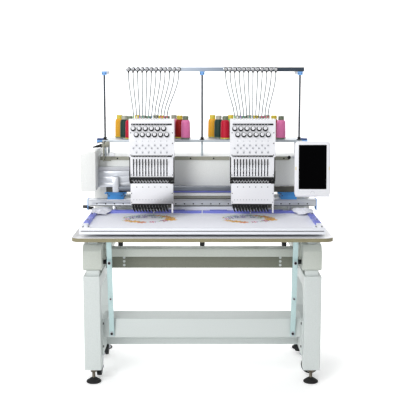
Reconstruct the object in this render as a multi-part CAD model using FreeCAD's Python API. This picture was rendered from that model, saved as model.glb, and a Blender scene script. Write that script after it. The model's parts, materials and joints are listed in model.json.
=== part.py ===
"""Two-head, twelve-needle embroidery machine on its own stand.

Millimetres, +X to the operator's right, -Y towards the operator, +Z up. The origin is on the floor, at the
middle of the machine's box. Each sub-part is written to parts/NAME.step.
"""
import FreeCAD, Part
import math
import os

V = FreeCAD.Vector
X_AXIS = V(1, 0, 0)
Y_AXIS = V(0, 1, 0)
Z_AXIS = V(0, 0, 1)
SIDES = (-1, 1)

# ---------------------------------------------------------------- driving sizes
overall_width = 1268.0       # handwheel face to the right edge of the control panel
overall_depth = 960.0        # table front edge to the back of the bridge
table_height = 729.0         # floor to the top of the table
head_spacing = 500.0         # sewing point to sewing point
needle_setback = 405.0       # table front edge to the needle line
needle_count = 12            # needles in each head
needle_pitch = 15.0
active_needle = 7            # the needle that stands at the sewing point at rest

face_gap = 0.3               # between faces that slide past each other
run_gap = 0.05               # radial clearance of a shaft or pin in its bore

# ---------------------------------------------------------------- datums
half_width = overall_width / 2
front_y = -overall_depth / 2
rear_y = overall_depth / 2
needle_y = front_y + needle_setback
head_x = head_spacing / 2
heads = (-head_x, head_x)

# ---------------------------------------------------------------- table and bed
table_inset = 28.0
table_thickness = 18.0
table_corner = 45.0
band_thickness = 2.0
table_rest = 34.0            # pads between the side rails and the table
table_half = half_width - table_inset
table_under = table_height - table_thickness

rail_width = 90.0
rail_height = 122.0
rail_wall = 5.0
rail_bevel = 28.0
spacer_height = 27.0
stand_half = half_width - 69.0
rail_top = table_under - table_rest
rail_bottom = rail_top - rail_height

# ---------------------------------------------------------------- stand
column_width = 80.0
column_depth = 60.0
stand_wall = 4.0
stand_bottom = 68.0
stand_front = needle_y - 311.0
stand_rear = needle_y + 285.0
stand_top = rail_bottom - spacer_height
arch_top = 118.0             # underside of the raised lower rail
arch_slope = 20.0
window_bottom = 208.0
window_margin = 62.0
window_chamfer = 40.0

foot_inset = 30.0
foot_radius = 36.0
foot_pad_height = 6.0
foot_dome_top = 24.0
foot_rod_radius = 8.0
foot_rod_top = 150.0
foot_nut_height = 12.0
foot_nut_radius = 12.0
foot_plate = 14.0            # thick threaded plate in the bottom of each column

caster_x = stand_half - 60.0
caster_inset = 136.0         # swivel axis from the frame's front and back
wheel_radius = 44.0
wheel_width = 24.0
wheel_lift = 8.0             # the wheels hang clear of the floor when the feet are down
caster_trail = 28.0
caster_axle = 4.0
caster_stem = 6.0
fork_leg = 4.0
fork_gap = 1.2
caster_plate = 4.0           # mounting plate under the frame
caster_floor = 6.0           # floor of the lower rail, bored for the stem

# ---------------------------------------------------------------- lower beam and struts
lower_beam_front = needle_y - 234.0
lower_beam_depth = 146.0
lower_beam_bottom = 207.0
lower_beam_height = 95.0
lower_beam_wall = 4.0
lower_rail_height = 76.0
lower_rail_depth = 10.0
lower_flange = 6.0
strut_x = stand_half - 126.0
strut_width = 24.0
strut_thickness = 6.0
strut_top_y = needle_y - 330.0
strut_joint = 0.80           # share of the height where the two bars lap
strut_hole = 4.0

cross_front = needle_y - 200.0
cross_depth = 80.0
cross_bottom = rail_top - 77.0
cross_height = 39.0
cross_panel_bottom = cross_bottom - 71.0
cross_panel = 4.0
cross_hole_x = 385.0
cross_hole_radius = 4.0
cross_hole_pitch = 19.0
guide_x = stand_half - 105.0
guide_width = 30.0
guide_height = 24.0

# ---------------------------------------------------------------- sewing level
plate_rise = 12.0            # needle plate above the table
plate_thickness = 3.0
plate_top = table_height + plate_rise
arm_width = 90.0
arm_height = 78.0
arm_wall = 4.0
arm_front = needle_y - 60.0
arm_gap = 2.0                # table cut-out round the arm
hook_radius = 23.0
hook_drop = 41.0             # needle plate top to the hook's axis
hook_shaft = 5.0
needle_hole = 1.3

sash_clear = 1.0
sash_height = 29.0
sash_bar = 25.0
sash_half = stand_half + 4.0
sash_front = needle_y - 375.0
sash_back = needle_y + 158.0
sash_bottom = plate_top + sash_clear
sash_top = sash_bottom + sash_height
cloth_thickness = 1.2
cloth_lift = 15.0            # sash underside to the cloth's underside
clip_thickness = 3.0

x_beam_half = half_width - 36.0
x_beam_front = needle_y + 190.0
x_beam_depth = 60.0
x_beam_bottom = sash_top + 20.0
x_beam_height = 35.0
x_beam_wall = 3.0
x_beam_rear = x_beam_front + x_beam_depth
x_beam_top = x_beam_bottom + x_beam_height
x_beam_hole_pitch = 46.0
travel_front = 110.0         # how far the carriage runs towards the operator
carriage_cover_height = 39.0
carriage_cover_width = 84.0
carriage_cover_length = 145.0
carriage_leg = 16.0

# ---------------------------------------------------------------- back of the machine
housing_depth = 85.0
housing_front = rear_y - housing_depth
housing_top = x_beam_top - 11.0
housing_wall = 3.0
upright_inner = half_width - 134.0
upright_outer = half_width - 36.0

bridge_front = needle_y + 180.0
bridge_bottom = table_height + 169.0
bridge_height = 156.0
bridge_top = bridge_bottom + bridge_height
bridge_wall = 6.0
bridge_skin = 3.0            # front cover plates
bridge_half = half_width - 97.0
end_box_outer = half_width - 22.0
end_box_front = needle_y + 20.0
end_box_bottom = bridge_bottom - 8.0
end_box_top = bridge_top + 37.0
end_box_wall = 5.0

profile_depth = 40.0
profile_bottom = bridge_bottom
profile_top = bridge_bottom + 104.0

shaft_y = needle_y + 225.0
shaft_z = bridge_bottom + 37.0
shaft_radius = 10.0
shaft_end = bridge_half - 117.0
handwheel_radius = 50.0
handwheel_thickness = 12.0
cam_radius = 27.0
motor_side = 62.0
motor_length = 108.0

# ---------------------------------------------------------------- heads
head_arm_half = 55.0
head_arm_bottom = bridge_bottom + 27.0
head_arm_wall = 6.0
case_back = needle_y + 30.0
head_arm_front = case_back + 3.0
case_half = 112.0
case_wall = 4.0
case_back_plate = 12.0
case_front = needle_y - 30.0
cover_bottom = plate_top + 97.0
cover_height = 99.0
cover_front = needle_y - 50.0
cover_half = 105.5
cover_sheet = 3.0
case_bottom = cover_bottom + cover_height
case_height = 319.0
case_top = case_bottom + case_height
case_floor = 12.0
upper_guide_bottom = case_bottom + 48.0
upper_guide = 10.0
rail_bar_height = 15.0
rail_bar_depth = 8.0
rail_bar_half = 95.0
rail_bar_levels = (case_bottom + 70.0, case_bottom + 220.0)

tension_panel_height = 187.0
tension_panel_half = 112.5
panel_thickness = 10.0
tension_bottom = case_top - tension_panel_height
knob_radius = 12.5
knob_depth = 20.0
knob_rows = (case_top - 46.0, case_top - 76.0)
take_up_half = 106.5
take_up_bottom = case_bottom + 33.0
slot_width = 6.0
slot_height = 86.0

link_y = needle_y + 120.0
link_z = bridge_bottom - 5.0
link_radius = 12.5
slider_x = stand_half - 135.0

bar_radius = 3.5
bar_bottom = cover_bottom + 12.0
bar_top = cover_bottom + 222.0
clamp_radius = 6.0
needle_tip = plate_top + 49.5
needle_radius = 0.6
foot_bar_radius = 2.5
foot_bar_offset = 10.0
foot_ring_radius = 6.0
foot_ring_bottom = plate_top + 65.0
stroke = 60.0                # from parked to the lowest point

pivot_y = needle_y - 17.0
pivot_z = case_bottom + 83.0
pivot_radius = 3.0
lever_hub = 6.0
lever_thickness = 2.0
lever_reach = 40.0
lever_rise = 28.0

# ---------------------------------------------------------------- thread stand
shelf_rise = 84.0
shelf_top = bridge_top + shelf_rise
shelf_sheet = 3.0
shelf_lip = 12.0
shelf_half = half_width - 89.0
shelf_front = needle_y + 195.0
shelf_depth = 200.0
support_size = 12.0
post_x = half_width - 129.0
post_y = needle_y + 205.0
post_radius = 5.0
post_height = 346.0
bar_half = half_width - 108.0
bar_bottom_z = shelf_top + 352.0
bar_height = 22.0
bar_thickness = 6.0
disc_radius = 11.6
disc_pitch = 23.5
disc_z = bar_bottom_z + 12.0
disc_depth = 12.0
tube_radius = 3.0
holder_radius = 4.5
holder_height = 5.0
cone_pitch = 32.5
cone_rows = 3
cone_row_pitch = 62.0
cone_first_row = needle_y + 240.0
cone_group_shift = -15.0
cone_radius = 24.5
cone_bore = 3.4
pin_radius = 3.0

# ---------------------------------------------------------------- control panel
screen_width = 138.0
screen_height = 219.0
panel_width = 178.0
panel_height = 275.0
panel_depth = 26.0
panel_corner = 16.0
panel_front = needle_y - 60.0
panel_bottom = bridge_bottom - 27.0
panel_tilt = -5.0            # leans back at rest
hinge_y = panel_front + 45.0
hinge_z = panel_bottom + 129.0
hinge_pin = 4.0
button_radius = 8.0
button_travel = 1.0


# ---------------------------------------------------------------- helpers
def box(x0, x1, y0, y1, z0, z1):
    """A block between two corners, given in any order."""
    low = V(min(x0, x1), min(y0, y1), min(z0, z1))
    return Part.makeBox(abs(x1 - x0), abs(y1 - y0), abs(z1 - z0), low)


def rod(x, y, z, radius, length, axis):
    """A round bar that starts at a point and runs along an axis."""
    return Part.makeCylinder(radius, length, V(x, y, z), axis)


def ring(x, y, z, outer, inner, length, axis):
    """A round bar with a bore."""
    return rod(x, y, z, outer, length, axis).cut(rod(x, y, z, inner, length, axis))


def prism(points, travel):
    """A closed outline pushed along a vector."""
    wire = Part.makePolygon(points + points[:1])
    return Part.Face(wire).extrude(travel)


def prism_x(points, x0, x1):
    """A (y, z) outline between two x planes."""
    return prism([V(min(x0, x1), y, z) for y, z in points], V(abs(x1 - x0), 0, 0))


def prism_y(points, y0, y1):
    """An (x, z) outline between two y planes."""
    return prism([V(x, y0, z) for x, z in points], V(0, y1 - y0, 0))


def turned(profile, x, y):
    """A solid turned about the upright axis at (x, y) from (radius, z) points."""
    points = [V(x + r, y, z) for r, z in profile]
    wire = Part.makePolygon(points + points[:1])
    return Part.Face(wire).revolve(V(x, y, 0), Z_AXIS, 360)


def soften(shape, radius, axis):
    """Round every straight edge that runs along an axis."""
    edges = []
    for edge in shape.Edges:
        straight = edge.Curve.TypeId == "Part::GeomLine"
        if straight and abs(abs(edge.tangentAt(edge.FirstParameter).dot(axis)) - 1) < 1e-6:
            edges.append(edge)
    return shape.makeFillet(radius, edges)


def cut_all(shape, tools):
    """Take every tool out of a shape."""
    return shape.cut(Part.makeCompound(tools))


def save(node, *solids):
    """Write one sub-part, a single solid or a group of separate ones."""
    shape = solids[0] if len(solids) == 1 else Part.makeCompound(list(solids))
    shape.exportStep(f"parts/{node}.step")
    print(node, len(shape.Solids))


def needle_xs(centre):
    """The needles' places across a head; the active one is on the head's centre."""
    return [centre + (k - active_needle) * needle_pitch for k in range(1, needle_count + 1)]


# ---------------------------------------------------------------- stand
def caster_places():
    """Name, x, y and rest heading (degrees, 0 trails to the back) of the four casters."""
    front = stand_front + caster_inset
    rear = stand_rear - caster_inset
    return (
        ("front_left", -caster_x, front, 180.0),
        ("front_right", caster_x, front, -90.0),
        ("rear_left", -caster_x, rear, 180.0),
        ("rear_right", caster_x, rear, -20.0),
    )


def foot_places():
    """Name, x and y of the four levelling feet."""
    x = stand_half - column_width / 2
    front = stand_front + foot_inset
    rear = stand_rear - foot_inset
    return (
        ("front_left", -x, front),
        ("front_right", x, front),
        ("rear_left", -x, rear),
        ("rear_right", x, rear),
    )


def stand_frame(side):
    """Welded side frame: two columns, a top rail and a raised lower rail round an open window."""
    near = stand_front + column_depth
    far = stand_rear - column_depth
    outline = [
        (stand_front, stand_bottom), (stand_front, stand_top),
        (stand_rear, stand_top), (stand_rear, stand_bottom),
        (far, stand_bottom), (far - arch_slope, arch_top),
        (near + arch_slope, arch_top), (near, stand_bottom),
    ]
    inner, outer = side * (stand_half - column_width), side * stand_half
    frame = soften(prism_x(outline, inner, outer), 5.0, Z_AXIS)
    window_top = stand_top - window_margin
    c = window_chamfer
    window = [
        (near + c, window_bottom), (near, window_bottom + c), (near, window_top - c),
        (near + c, window_top), (far - c, window_top), (far, window_top - c),
        (far, window_bottom + c), (far - c, window_bottom),
    ]
    w = stand_wall
    x0, x1 = side * (stand_half - column_width + w), side * (stand_half - w)
    cuts = [prism_x(window, inner, outer)]
    for y0, y1 in ((stand_front, near), (far, stand_rear)):
        cuts.append(box(x0, x1, y0 + w, y1 - w, stand_bottom + foot_plate, stand_top - w))
    cuts.append(box(x0, x1, stand_front + w, stand_rear - w, window_top + w, stand_top - w))
    rail_floor = arch_top + caster_floor
    cuts.append(box(x0, x1, stand_front + w, stand_rear - w, rail_floor, window_bottom - w))
    for name, x, y in foot_places():
        if x * side > 0:
            bore = foot_rod_radius + run_gap
            cuts.append(rod(x, y, stand_bottom, bore, foot_plate, Z_AXIS))
    for name, x, y, heading in caster_places():
        if x * side > 0:
            cuts.append(rod(x, y, arch_top, caster_stem + run_gap, caster_floor, Z_AXIS))
    return cut_all(frame, cuts)


def caster_plates(side):
    """Mounting plates for the caster stems under one side frame."""
    plates = []
    low = arch_top - caster_plate
    for name, x, y, heading in caster_places():
        if x * side > 0:
            plate = box(side * (stand_half - column_width), side * stand_half, y - 30, y + 30, low, arch_top)
            bore = rod(x, y, low, caster_stem + run_gap, caster_plate, Z_AXIS)
            plates.append(plate.cut(bore))
    return plates


def levelling_foot(x, y):
    """Round rubber pad on a threaded rod with its lock nut under the column."""
    nut_top = stand_bottom - face_gap
    nut_low = nut_top - foot_nut_height
    pad = turned([
        (0, 0), (foot_radius - 2, 0), (foot_radius, 2), (foot_radius, foot_pad_height),
        (foot_radius - 7, foot_pad_height + 6), (foot_radius - 18, foot_dome_top - 3), (12, foot_dome_top),
        (0, foot_dome_top),
    ], x, y)
    rod_solid = rod(x, y, foot_dome_top, foot_rod_radius, foot_rod_top - foot_dome_top, Z_AXIS)
    hexagon = []
    for step in range(6):
        angle = math.radians(60 * step)
        across, along = math.cos(angle), math.sin(angle)
        hexagon.append(V(x + foot_nut_radius * across, y + foot_nut_radius * along, nut_low))
    nut = prism(hexagon, V(0, 0, foot_nut_height))
    return [pad, rod_solid.fuse(nut).removeSplitter()]


def caster(x, y, heading):
    """Swivel fork, its brake pedal and its wheel, turned to their heading."""
    axle_z = wheel_lift + wheel_radius
    axle_y = y + caster_trail
    crown_top = arch_top - caster_plate - face_gap
    crown_low = wheel_lift + 2 * wheel_radius + 6.0
    inner = wheel_width / 2 + fork_gap
    outer = inner + fork_leg
    fork = rod(x, y, crown_low, 22.0, crown_top - crown_low, Z_AXIS)
    stem_top = arch_top + caster_floor - face_gap
    fork = fork.fuse(rod(x, y, crown_top, caster_stem, stem_top - crown_top, Z_AXIS))
    leg = [
        (y - 16, crown_low + 4), (y + 30, crown_low + 4), (axle_y + 13, axle_z), (axle_y + 8, axle_z - 10),
        (axle_y - 8, axle_z - 10), (axle_y - 13, axle_z),
    ]
    for side in SIDES:
        fork = fork.fuse(prism_x(leg, x + side * inner, x + side * outer))
    fork = fork.fuse(box(x - outer, x + outer, y - 16, y + 30, crown_low, crown_low + 4))
    fork = fork.fuse(rod(x - outer - 3, axle_y, axle_z, caster_axle, 2 * outer + 6, X_AXIS)).removeSplitter()
    pedal = prism_x([
        (y + 30, crown_low - 2), (y + 30, crown_low + 4), (y + 44, crown_low + 3), (y + 54, crown_low - 2),
        (y + 63, crown_low - 10), (y + 62, crown_low - 16), (y + 50, crown_low - 6),
    ], x - 12, x + 12)
    tyre = rod(x - wheel_width / 2, axle_y, axle_z, wheel_radius, wheel_width, X_AXIS)
    rims = [edge for edge in tyre.Edges if edge.Curve.TypeId == "Part::GeomCircle"]
    tyre = tyre.makeFillet(6.0, rims)
    wheel = tyre.cut(rod(x - wheel_width, axle_y, axle_z, caster_axle + run_gap, 2 * wheel_width, X_AXIS))
    for shape in (fork, pedal, wheel):
        shape.rotate(V(x, y, 0), Z_AXIS, heading)
    return fork, pedal, wheel


def lower_beam():
    """Box beam bolted between the side frames by its end plates, with a flat rail under its back edge."""
    flange_x = stand_half - column_width
    reach = flange_x - lower_flange
    top = lower_beam_bottom + lower_beam_height
    rear = lower_beam_front + lower_beam_depth
    w = lower_beam_wall
    beam = box(-reach, reach, lower_beam_front, rear, lower_beam_bottom, top)
    beam = soften(beam, 5.0, X_AXIS)
    hollow = box(-reach, reach, lower_beam_front + w, rear - w, lower_beam_bottom + w, top - w)
    rail_low = lower_beam_bottom - lower_rail_height
    rail = box(-reach, reach, rear - lower_rail_depth, rear, rail_low, lower_beam_bottom)
    flange_front = stand_front + column_depth - 24
    flanges = [box(side * reach, side * flange_x, flange_front, rear, rail_low, top) for side in SIDES]
    return [beam.cut(hollow), rail] + flanges


def strut_point(share):
    """A point (y, z) on the struts' front line, from the lower beam to the table."""
    low_y, low_z = lower_beam_front - strut_thickness, lower_beam_bottom + 8.0
    high_y, high_z = strut_top_y, table_under - 6.0
    return low_y + share * (high_y - low_y), low_z + share * (high_z - low_z)


def strut_bar(side, low, high, layer):
    """One flat bar of a table strut; the second bar lies behind the first."""
    (y0, z0), (y1, z1) = strut_point(low), strut_point(high)
    back = layer * strut_thickness
    thick = strut_thickness
    outline = [(y0 + back, z0), (y0 + back + thick, z0), (y1 + back + thick, z1), (y1 + back, z1)]
    x0 = side * (strut_x - strut_width / 2)
    x1 = side * (strut_x + strut_width / 2)
    return prism_x(outline, x0, x1)


def table_struts():
    """Lapped flat bars from the lower beam up to the table, with their feet and bolts."""
    parts = []
    hole_y, hole_z = strut_point(0.4)
    lap_y, lap_z = strut_point(strut_joint - 0.02)
    top_y, top_z = strut_point(1.0)
    foot_y, foot_z = strut_point(0.0)
    for side in SIDES:
        x = side * strut_x
        low_bar = strut_bar(side, 0.0, strut_joint, 0)
        low_bar = low_bar.fuse(box(x - 12, x + 12, foot_y, lower_beam_front, foot_z, foot_z + 30))
        low_bar = low_bar.cut(rod(x, hole_y - 20, hole_z, strut_hole, 40, Y_AXIS)).removeSplitter()
        high_bar = strut_bar(side, strut_joint - 0.05, 1.0, 1)
        foot = box(x - 12, x + 12, top_y, top_y + 46, top_z, table_under)
        high_bar = high_bar.fuse(foot).removeSplitter()
        parts.extend([low_bar, high_bar])
        parts.append(rod(x, lap_y - 5.0, lap_z, 6.0, 8.0, Y_AXIS).cut(low_bar).cut(high_bar))
        for z in (foot_z + 7, foot_z + 22):
            parts.append(rod(x, foot_y - 7.0, z, 5.0, 8.0, Y_AXIS).cut(low_bar))
    return parts


# ---------------------------------------------------------------- bed and table
def bed_side_rail(side):
    """Box rail with a bevelled nose, open at the back, on its two spacers."""
    nose = stand_front + rail_bevel
    outline = [
        (stand_front, rail_bottom + 12), (stand_front, rail_top - rail_bevel), (nose, rail_top),
        (rear_y, rail_top), (rear_y, rail_bottom), (stand_front + 12, rail_bottom),
    ]
    inner, outer = side * (stand_half - rail_width), side * stand_half
    w = rail_wall
    rail = prism_x(outline, inner, outer)
    hollow = box(inner + side * w, outer - side * w, nose, rear_y, rail_bottom + w, rail_top - w)
    return rail.cut(hollow)


def bed_cross_beam():
    """Front cross tube, the recessed panel behind it and the two carriage guides."""
    reach = stand_half - rail_width
    top = cross_bottom + cross_height
    rear = cross_front + cross_depth
    beam = soften(box(-reach, reach, cross_front, rear, cross_bottom, top), 4.0, X_AXIS)
    beam = beam.cut(box(-reach, reach, cross_front + 4, rear - 4, cross_bottom + 4, top - 4))
    panel = box(-reach, reach, rear - cross_panel, rear, cross_panel_bottom, cross_bottom)
    holes = []
    for side in SIDES:
        for step in range(3):
            z = cross_panel_bottom + 14 + step * cross_hole_pitch
            holes.append(rod(side * cross_hole_x, rear - 20, z, cross_hole_radius, 40, Y_AXIS))
    guides = []
    for side in SIDES:
        x0 = side * (guide_x - guide_width / 2)
        x1 = side * (guide_x + guide_width / 2)
        guides.append(box(x0, x1, cross_front, housing_front, top, top + guide_height))
    return [beam, cut_all(panel, holes)] + guides


def rubber_bumpers():
    """Black table bumpers, side knobs, the pads under the table and the rail spacers."""
    parts = []
    for x in (-390.0, 0.0, 390.0):
        knob = rod(x, needle_y - 250, table_under - 46, 12, 24, Z_AXIS)
        parts.append(knob.fuse(rod(x, needle_y - 250, table_under - 22, 6, 22, Z_AXIS)))
    for side in SIDES:
        wall = stand_half - rail_width
        length = 22.0
        start = side * wall if side < 0 else wall - length
        parts.append(rod(start, needle_y - 240, rail_bottom + 30, 11, length, X_AXIS))
        mid = side * (stand_half - rail_width / 2)
        for y in (stand_front + 60, needle_y + 20, housing_front - 60):
            parts.append(box(mid - 20, mid + 20, y - 20, y + 20, rail_top, table_under))
        for y0 in (stand_front + 10, stand_rear - column_depth + 8):
            parts.append(box(mid - 30, mid + 30, y0, y0 + 44, stand_top, rail_bottom))
    return parts


def table_outline(inset):
    """The table's slab, square at the back and rounded at the front corners."""
    half = table_half - inset
    slab = box(-half, half, front_y + inset, housing_front - 4.0, table_under, table_height)
    corners = []
    for edge in slab.Edges:
        middle = edge.CenterOfMass
        if abs(middle.z - (table_under + table_height) / 2) < 1 and middle.y < front_y + inset + 1:
            if abs(abs(middle.x) - half) < 1:
                corners.append(edge)
    return slab.makeFillet(table_corner - inset, corners)


def table_top():
    """Laminated board with cut-outs for the two cylinder arms and the carriage legs."""
    cuts = []
    for x in heads:
        reach = arm_width / 2 + arm_gap
        cuts.append(box(x - reach, x + reach, arm_front - arm_gap, rear_y, table_under - 1, table_height + 1))
    for side in SIDES:
        reach = carriage_leg / 2 + arm_gap
        start = x_beam_front - travel_front - 4.0
        x = side * guide_x
        cuts.append(box(x - reach, x + reach, start, rear_y, table_under - 1, table_height + 1))
    return cut_all(table_outline(band_thickness), cuts)


def table_edge_band():
    """Edge strip round the front and sides of the table."""
    return table_outline(0).cut(table_outline(band_thickness))


# ---------------------------------------------------------------- back and bridge
def rear_housing():
    """Low box across the back of the bed, with the two uprights that carry the bridge."""
    w = housing_wall
    half = upright_inner
    shell = box(-half, half, housing_front, rear_y, rail_top, housing_top)
    inside = box(-half + w, half - w, housing_front + w, rear_y - w, rail_top, housing_top - w)
    parts = [shell.cut(inside)]
    for side in SIDES:
        x0, x1 = side * upright_inner, side * upright_outer
        post = box(x0, x1, housing_front, rear_y, rail_top, end_box_bottom)
        x0, x1 = side * (upright_inner + 6), side * (upright_outer - 6)
        parts.append(post.cut(box(x0, x1, housing_front + 6, rear_y - 6, rail_top, end_box_bottom)))
    return parts


def bridge_beam():
    """Welded box beam of four plates, open at its ends, with the shaft's three bearing blocks."""
    back = bridge_front + bridge_skin
    w = bridge_wall
    low, high = bridge_bottom + w, bridge_top - w
    parts = [
        box(-bridge_half, bridge_half, back, rear_y, bridge_bottom, low),
        box(-bridge_half, bridge_half, back, rear_y, high, bridge_top),
        box(-bridge_half, bridge_half, back, back + w, low, high),
        box(-bridge_half, bridge_half, rear_y - w, rear_y, low, high),
    ]
    for x in (-bridge_half + 57, 0.0, shaft_end - 40):
        block = box(x - 15, x + 15, shaft_y - 28, shaft_y + 28, bridge_bottom + w, shaft_z + 28)
        parts.append(block.cut(rod(x - 20, shaft_y, shaft_z, shaft_radius + run_gap, 40, X_AXIS)))
    return parts


def bridge_front_cover():
    """Three sheet covers on the bridge's face, between and beside the head arms."""
    inner = head_x - head_arm_half
    outer = head_x + head_arm_half
    spans = ((-bridge_half, -outer), (-inner, inner), (outer, bridge_half))
    y1 = bridge_front + bridge_skin
    return [box(x0, x1, bridge_front, y1, bridge_bottom, bridge_top) for x0, x1 in spans]


def slide_rail_profile():
    """Extruded rail beside the left head that guides the colour-change slider."""
    front = bridge_front - profile_depth
    rail = box(-bridge_half, -head_x - head_arm_half, front, bridge_front, profile_bottom, profile_top)
    height = profile_top - profile_bottom
    grooves = []
    for share in (0.2, 0.5, 0.78):
        z = profile_bottom + share * height
        grooves.append(box(-half_width, 0, front, front + 4, z, z + 6))
    return cut_all(rail, grooves)


def end_box(side):
    """Cast end cover of the bridge, with a sloped outer top corner."""
    inner, outer = bridge_half, end_box_outer
    top, low = end_box_top, end_box_bottom
    outline = [
        (side * inner, low), (side * outer, low), (side * outer, top - 16), (side * (outer - 40), top),
        (side * inner, top),
    ]
    w = end_box_wall
    inside = [
        (side * (inner + w), low + w), (side * (outer - w), low + w), (side * (outer - w), top - 16 - w),
        (side * (outer - 42), top - w), (side * (inner + w), top - w),
    ]
    shell = soften(prism_y(outline, end_box_front, rear_y), 6.0, Y_AXIS)
    shell = shell.cut(prism_y(inside, end_box_front + w, rear_y - w))
    reach = 3 * w if side > 0 else outer - inner + 2 * w
    start = side * inner - w if side > 0 else -outer - w
    return shell.cut(rod(start, shaft_y, shaft_z, shaft_radius + 3, reach, X_AXIS))


def panel_bracket():
    """Arm on the right end cover that carries the control panel's hinge pin."""
    x0, x1 = bridge_half + 23, bridge_half + 63
    arm = box(x0, x1, hinge_y, end_box_front, hinge_z - 15, hinge_z + 15)
    arm = arm.fuse(rod(x0, hinge_y, hinge_z, 15, x1 - x0, X_AXIS)).removeSplitter()
    return arm.cut(rod(x0 - 1, hinge_y, hinge_z, hinge_pin + run_gap, x1 - x0 + 2, X_AXIS))


def main_shaft():
    """Main shaft with the hand disc, one drive cam at each head and the motor coupling."""
    start = -half_width + handwheel_thickness
    shaft = rod(start, shaft_y, shaft_z, shaft_radius, shaft_end - start, X_AXIS)
    disc = rod(-half_width, shaft_y, shaft_z, handwheel_radius, handwheel_thickness, X_AXIS)
    rims = [edge for edge in disc.Edges if edge.Curve.TypeId == "Part::GeomCircle"]
    shaft = shaft.fuse(disc.makeFillet(2.0, rims))
    for x in heads:
        shaft = shaft.fuse(rod(x - 10, shaft_y, shaft_z, cam_radius, 20, X_AXIS))
    shaft = shaft.fuse(rod(shaft_end - 20, shaft_y, shaft_z, 16, 20, X_AXIS))
    return shaft.removeSplitter()


def main_motor():
    """Square servo motor inside the bridge, face to face with the shaft's coupling."""
    x0 = shaft_end + face_gap
    half = motor_side / 2
    floor = bridge_bottom + bridge_wall
    body = box(x0, x0 + motor_length, shaft_y - half, shaft_y + half, floor, floor + motor_side)
    return soften(body, 5.0, X_AXIS)


# ---------------------------------------------------------------- sewing heads
def head_arm(x):
    """Cast arm from the bridge to the needle case, with the two cross rails on its nose."""
    back = bridge_front + bridge_skin
    low, high = head_arm_bottom, case_top - 16
    w = head_arm_wall
    front, knee, nape = head_arm_front, bridge_top - 4, back - 38
    outline = [(front, low), (back, low), (back, knee), (nape, high), (front, high)]
    inside = [
        (front + w, low + w), (back, low + w), (back, knee - w), (back - w, knee - w),
        (nape - w, high - w), (front + w, high - w),
    ]
    half = head_arm_half
    arm = soften(prism_x(outline, x - half, x + half), 4.0, Z_AXIS)
    arm = arm.cut(prism_x(inside, x - half + w, x + half - w))
    parts = [arm]
    for z in rail_bar_levels:
        depth = rail_bar_depth + head_arm_front - case_back
        y0 = head_arm_front - depth
        parts.append(box(x - rail_bar_half, x + rail_bar_half, y0, head_arm_front, z, z + rail_bar_height))
    return parts


def cylinder_arm(x):
    """Slim lower arm under the needle plate that houses the rotary hook."""
    half = arm_width / 2
    top = plate_top - plate_thickness
    low = top - arm_height
    w = arm_wall
    shell = soften(box(x - half, x + half, arm_front, housing_front, low, top), 8.0, Y_AXIS)
    shell = shell.cut(box(x - half + w, x + half - w, arm_front, housing_front - w, low + w, top - w))
    shell = shell.cut(box(x - 24, x + 24, needle_y - 20, needle_y + 34, top - w - 1, top + 1))
    bearing = box(x - 20, x + 20, needle_y + 80, needle_y + 100, low + w, plate_top - hook_drop + 20)
    bore = rod(x, needle_y + 70, plate_top - hook_drop, hook_shaft + run_gap, 40, Y_AXIS)
    return [shell, bearing.cut(bore)]


def needle_plate(x):
    """Steel plate with the needle hole, on top of a cylinder arm."""
    half = arm_width / 2
    low = plate_top - plate_thickness
    plate = soften(box(x - half, x + half, arm_front + 4, needle_y + 45, low, plate_top), 6.0, Z_AXIS)
    return plate.cut(rod(x, needle_y, low - 1, needle_hole, plate_thickness + 2, Z_AXIS))


def hook(x):
    """Rotary hook with its bobbin case, shaft and drive gear."""
    z = plate_top - hook_drop
    face = needle_y + 2.5
    body = rod(x, face, z, hook_radius, 22, Y_AXIS)
    body = body.cut(rod(x, face, z, hook_radius - 4, 8, Y_AXIS))
    bobbin = rod(x, face + 1, z, hook_radius - 7, 8, Y_AXIS)
    shaft = rod(x, face + 22, z, hook_shaft, 112, Y_AXIS)
    gear = rod(x, needle_y + 120, z, 16, 12, Y_AXIS)
    return body.fuse(bobbin).fuse(shaft).fuse(gear).removeSplitter()


def case_body(x):
    """Open-fronted needle case with its guide plates, rail grooves and lever pivot."""
    half, w = case_half, case_wall
    shell = box(x - half, x + half, case_front, case_back, case_bottom, case_top)
    inside = case_back - case_back_plate
    floor = case_bottom + case_floor
    cuts = [
        box(x - half + w, x + half - w, case_front, inside, floor, upper_guide_bottom),
        box(x - half + w, x + half - w, case_front, inside, upper_guide_bottom + upper_guide, case_top - 6),
    ]
    groove_front = case_back - rail_bar_depth - face_gap
    for z in rail_bar_levels:
        z0, z1 = z - face_gap, z + rail_bar_height + face_gap
        cuts.append(box(x - half, x + half, groove_front, case_back, z0, z1))
    for place in needle_xs(x):
        cuts.append(rod(place, needle_y, case_bottom - 1, bar_radius + run_gap, 70, Z_AXIS))
        back = needle_y + foot_bar_offset
        cuts.append(rod(place, back, case_bottom - 1, foot_bar_radius + run_gap, 70, Z_AXIS))
    shell = cut_all(shell, cuts)
    pivot = rod(x - half + w, pivot_y, pivot_z, pivot_radius, 2 * (half - w), X_AXIS)
    return [shell, pivot]


def case_link():
    """Tube that ties both needle cases to the colour-change slider."""
    start = -slider_x - 30
    tube = rod(start, link_y, link_z, link_radius, head_x + 30 - start, X_AXIS)
    parts = [tube]
    for x in heads:
        low = link_z - 17
        block = box(x - 20, x + 20, case_back, link_y + 16, low, head_arm_bottom - 4)
        block = block.fuse(box(x - 20, x + 20, case_back - 10, case_back, low, case_bottom))
        parts.append(block.cut(rod(x - 21, link_y, link_z, link_radius, 42, X_AXIS)).removeSplitter())
    slider_rear = bridge_front - profile_depth - face_gap
    slider = box(start, start + 30, link_y - 17, slider_rear, link_z - 17, link_z + 60)
    parts.append(slider.cut(rod(start - 1, link_y, link_z, link_radius, 32, X_AXIS)))
    return parts


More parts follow.
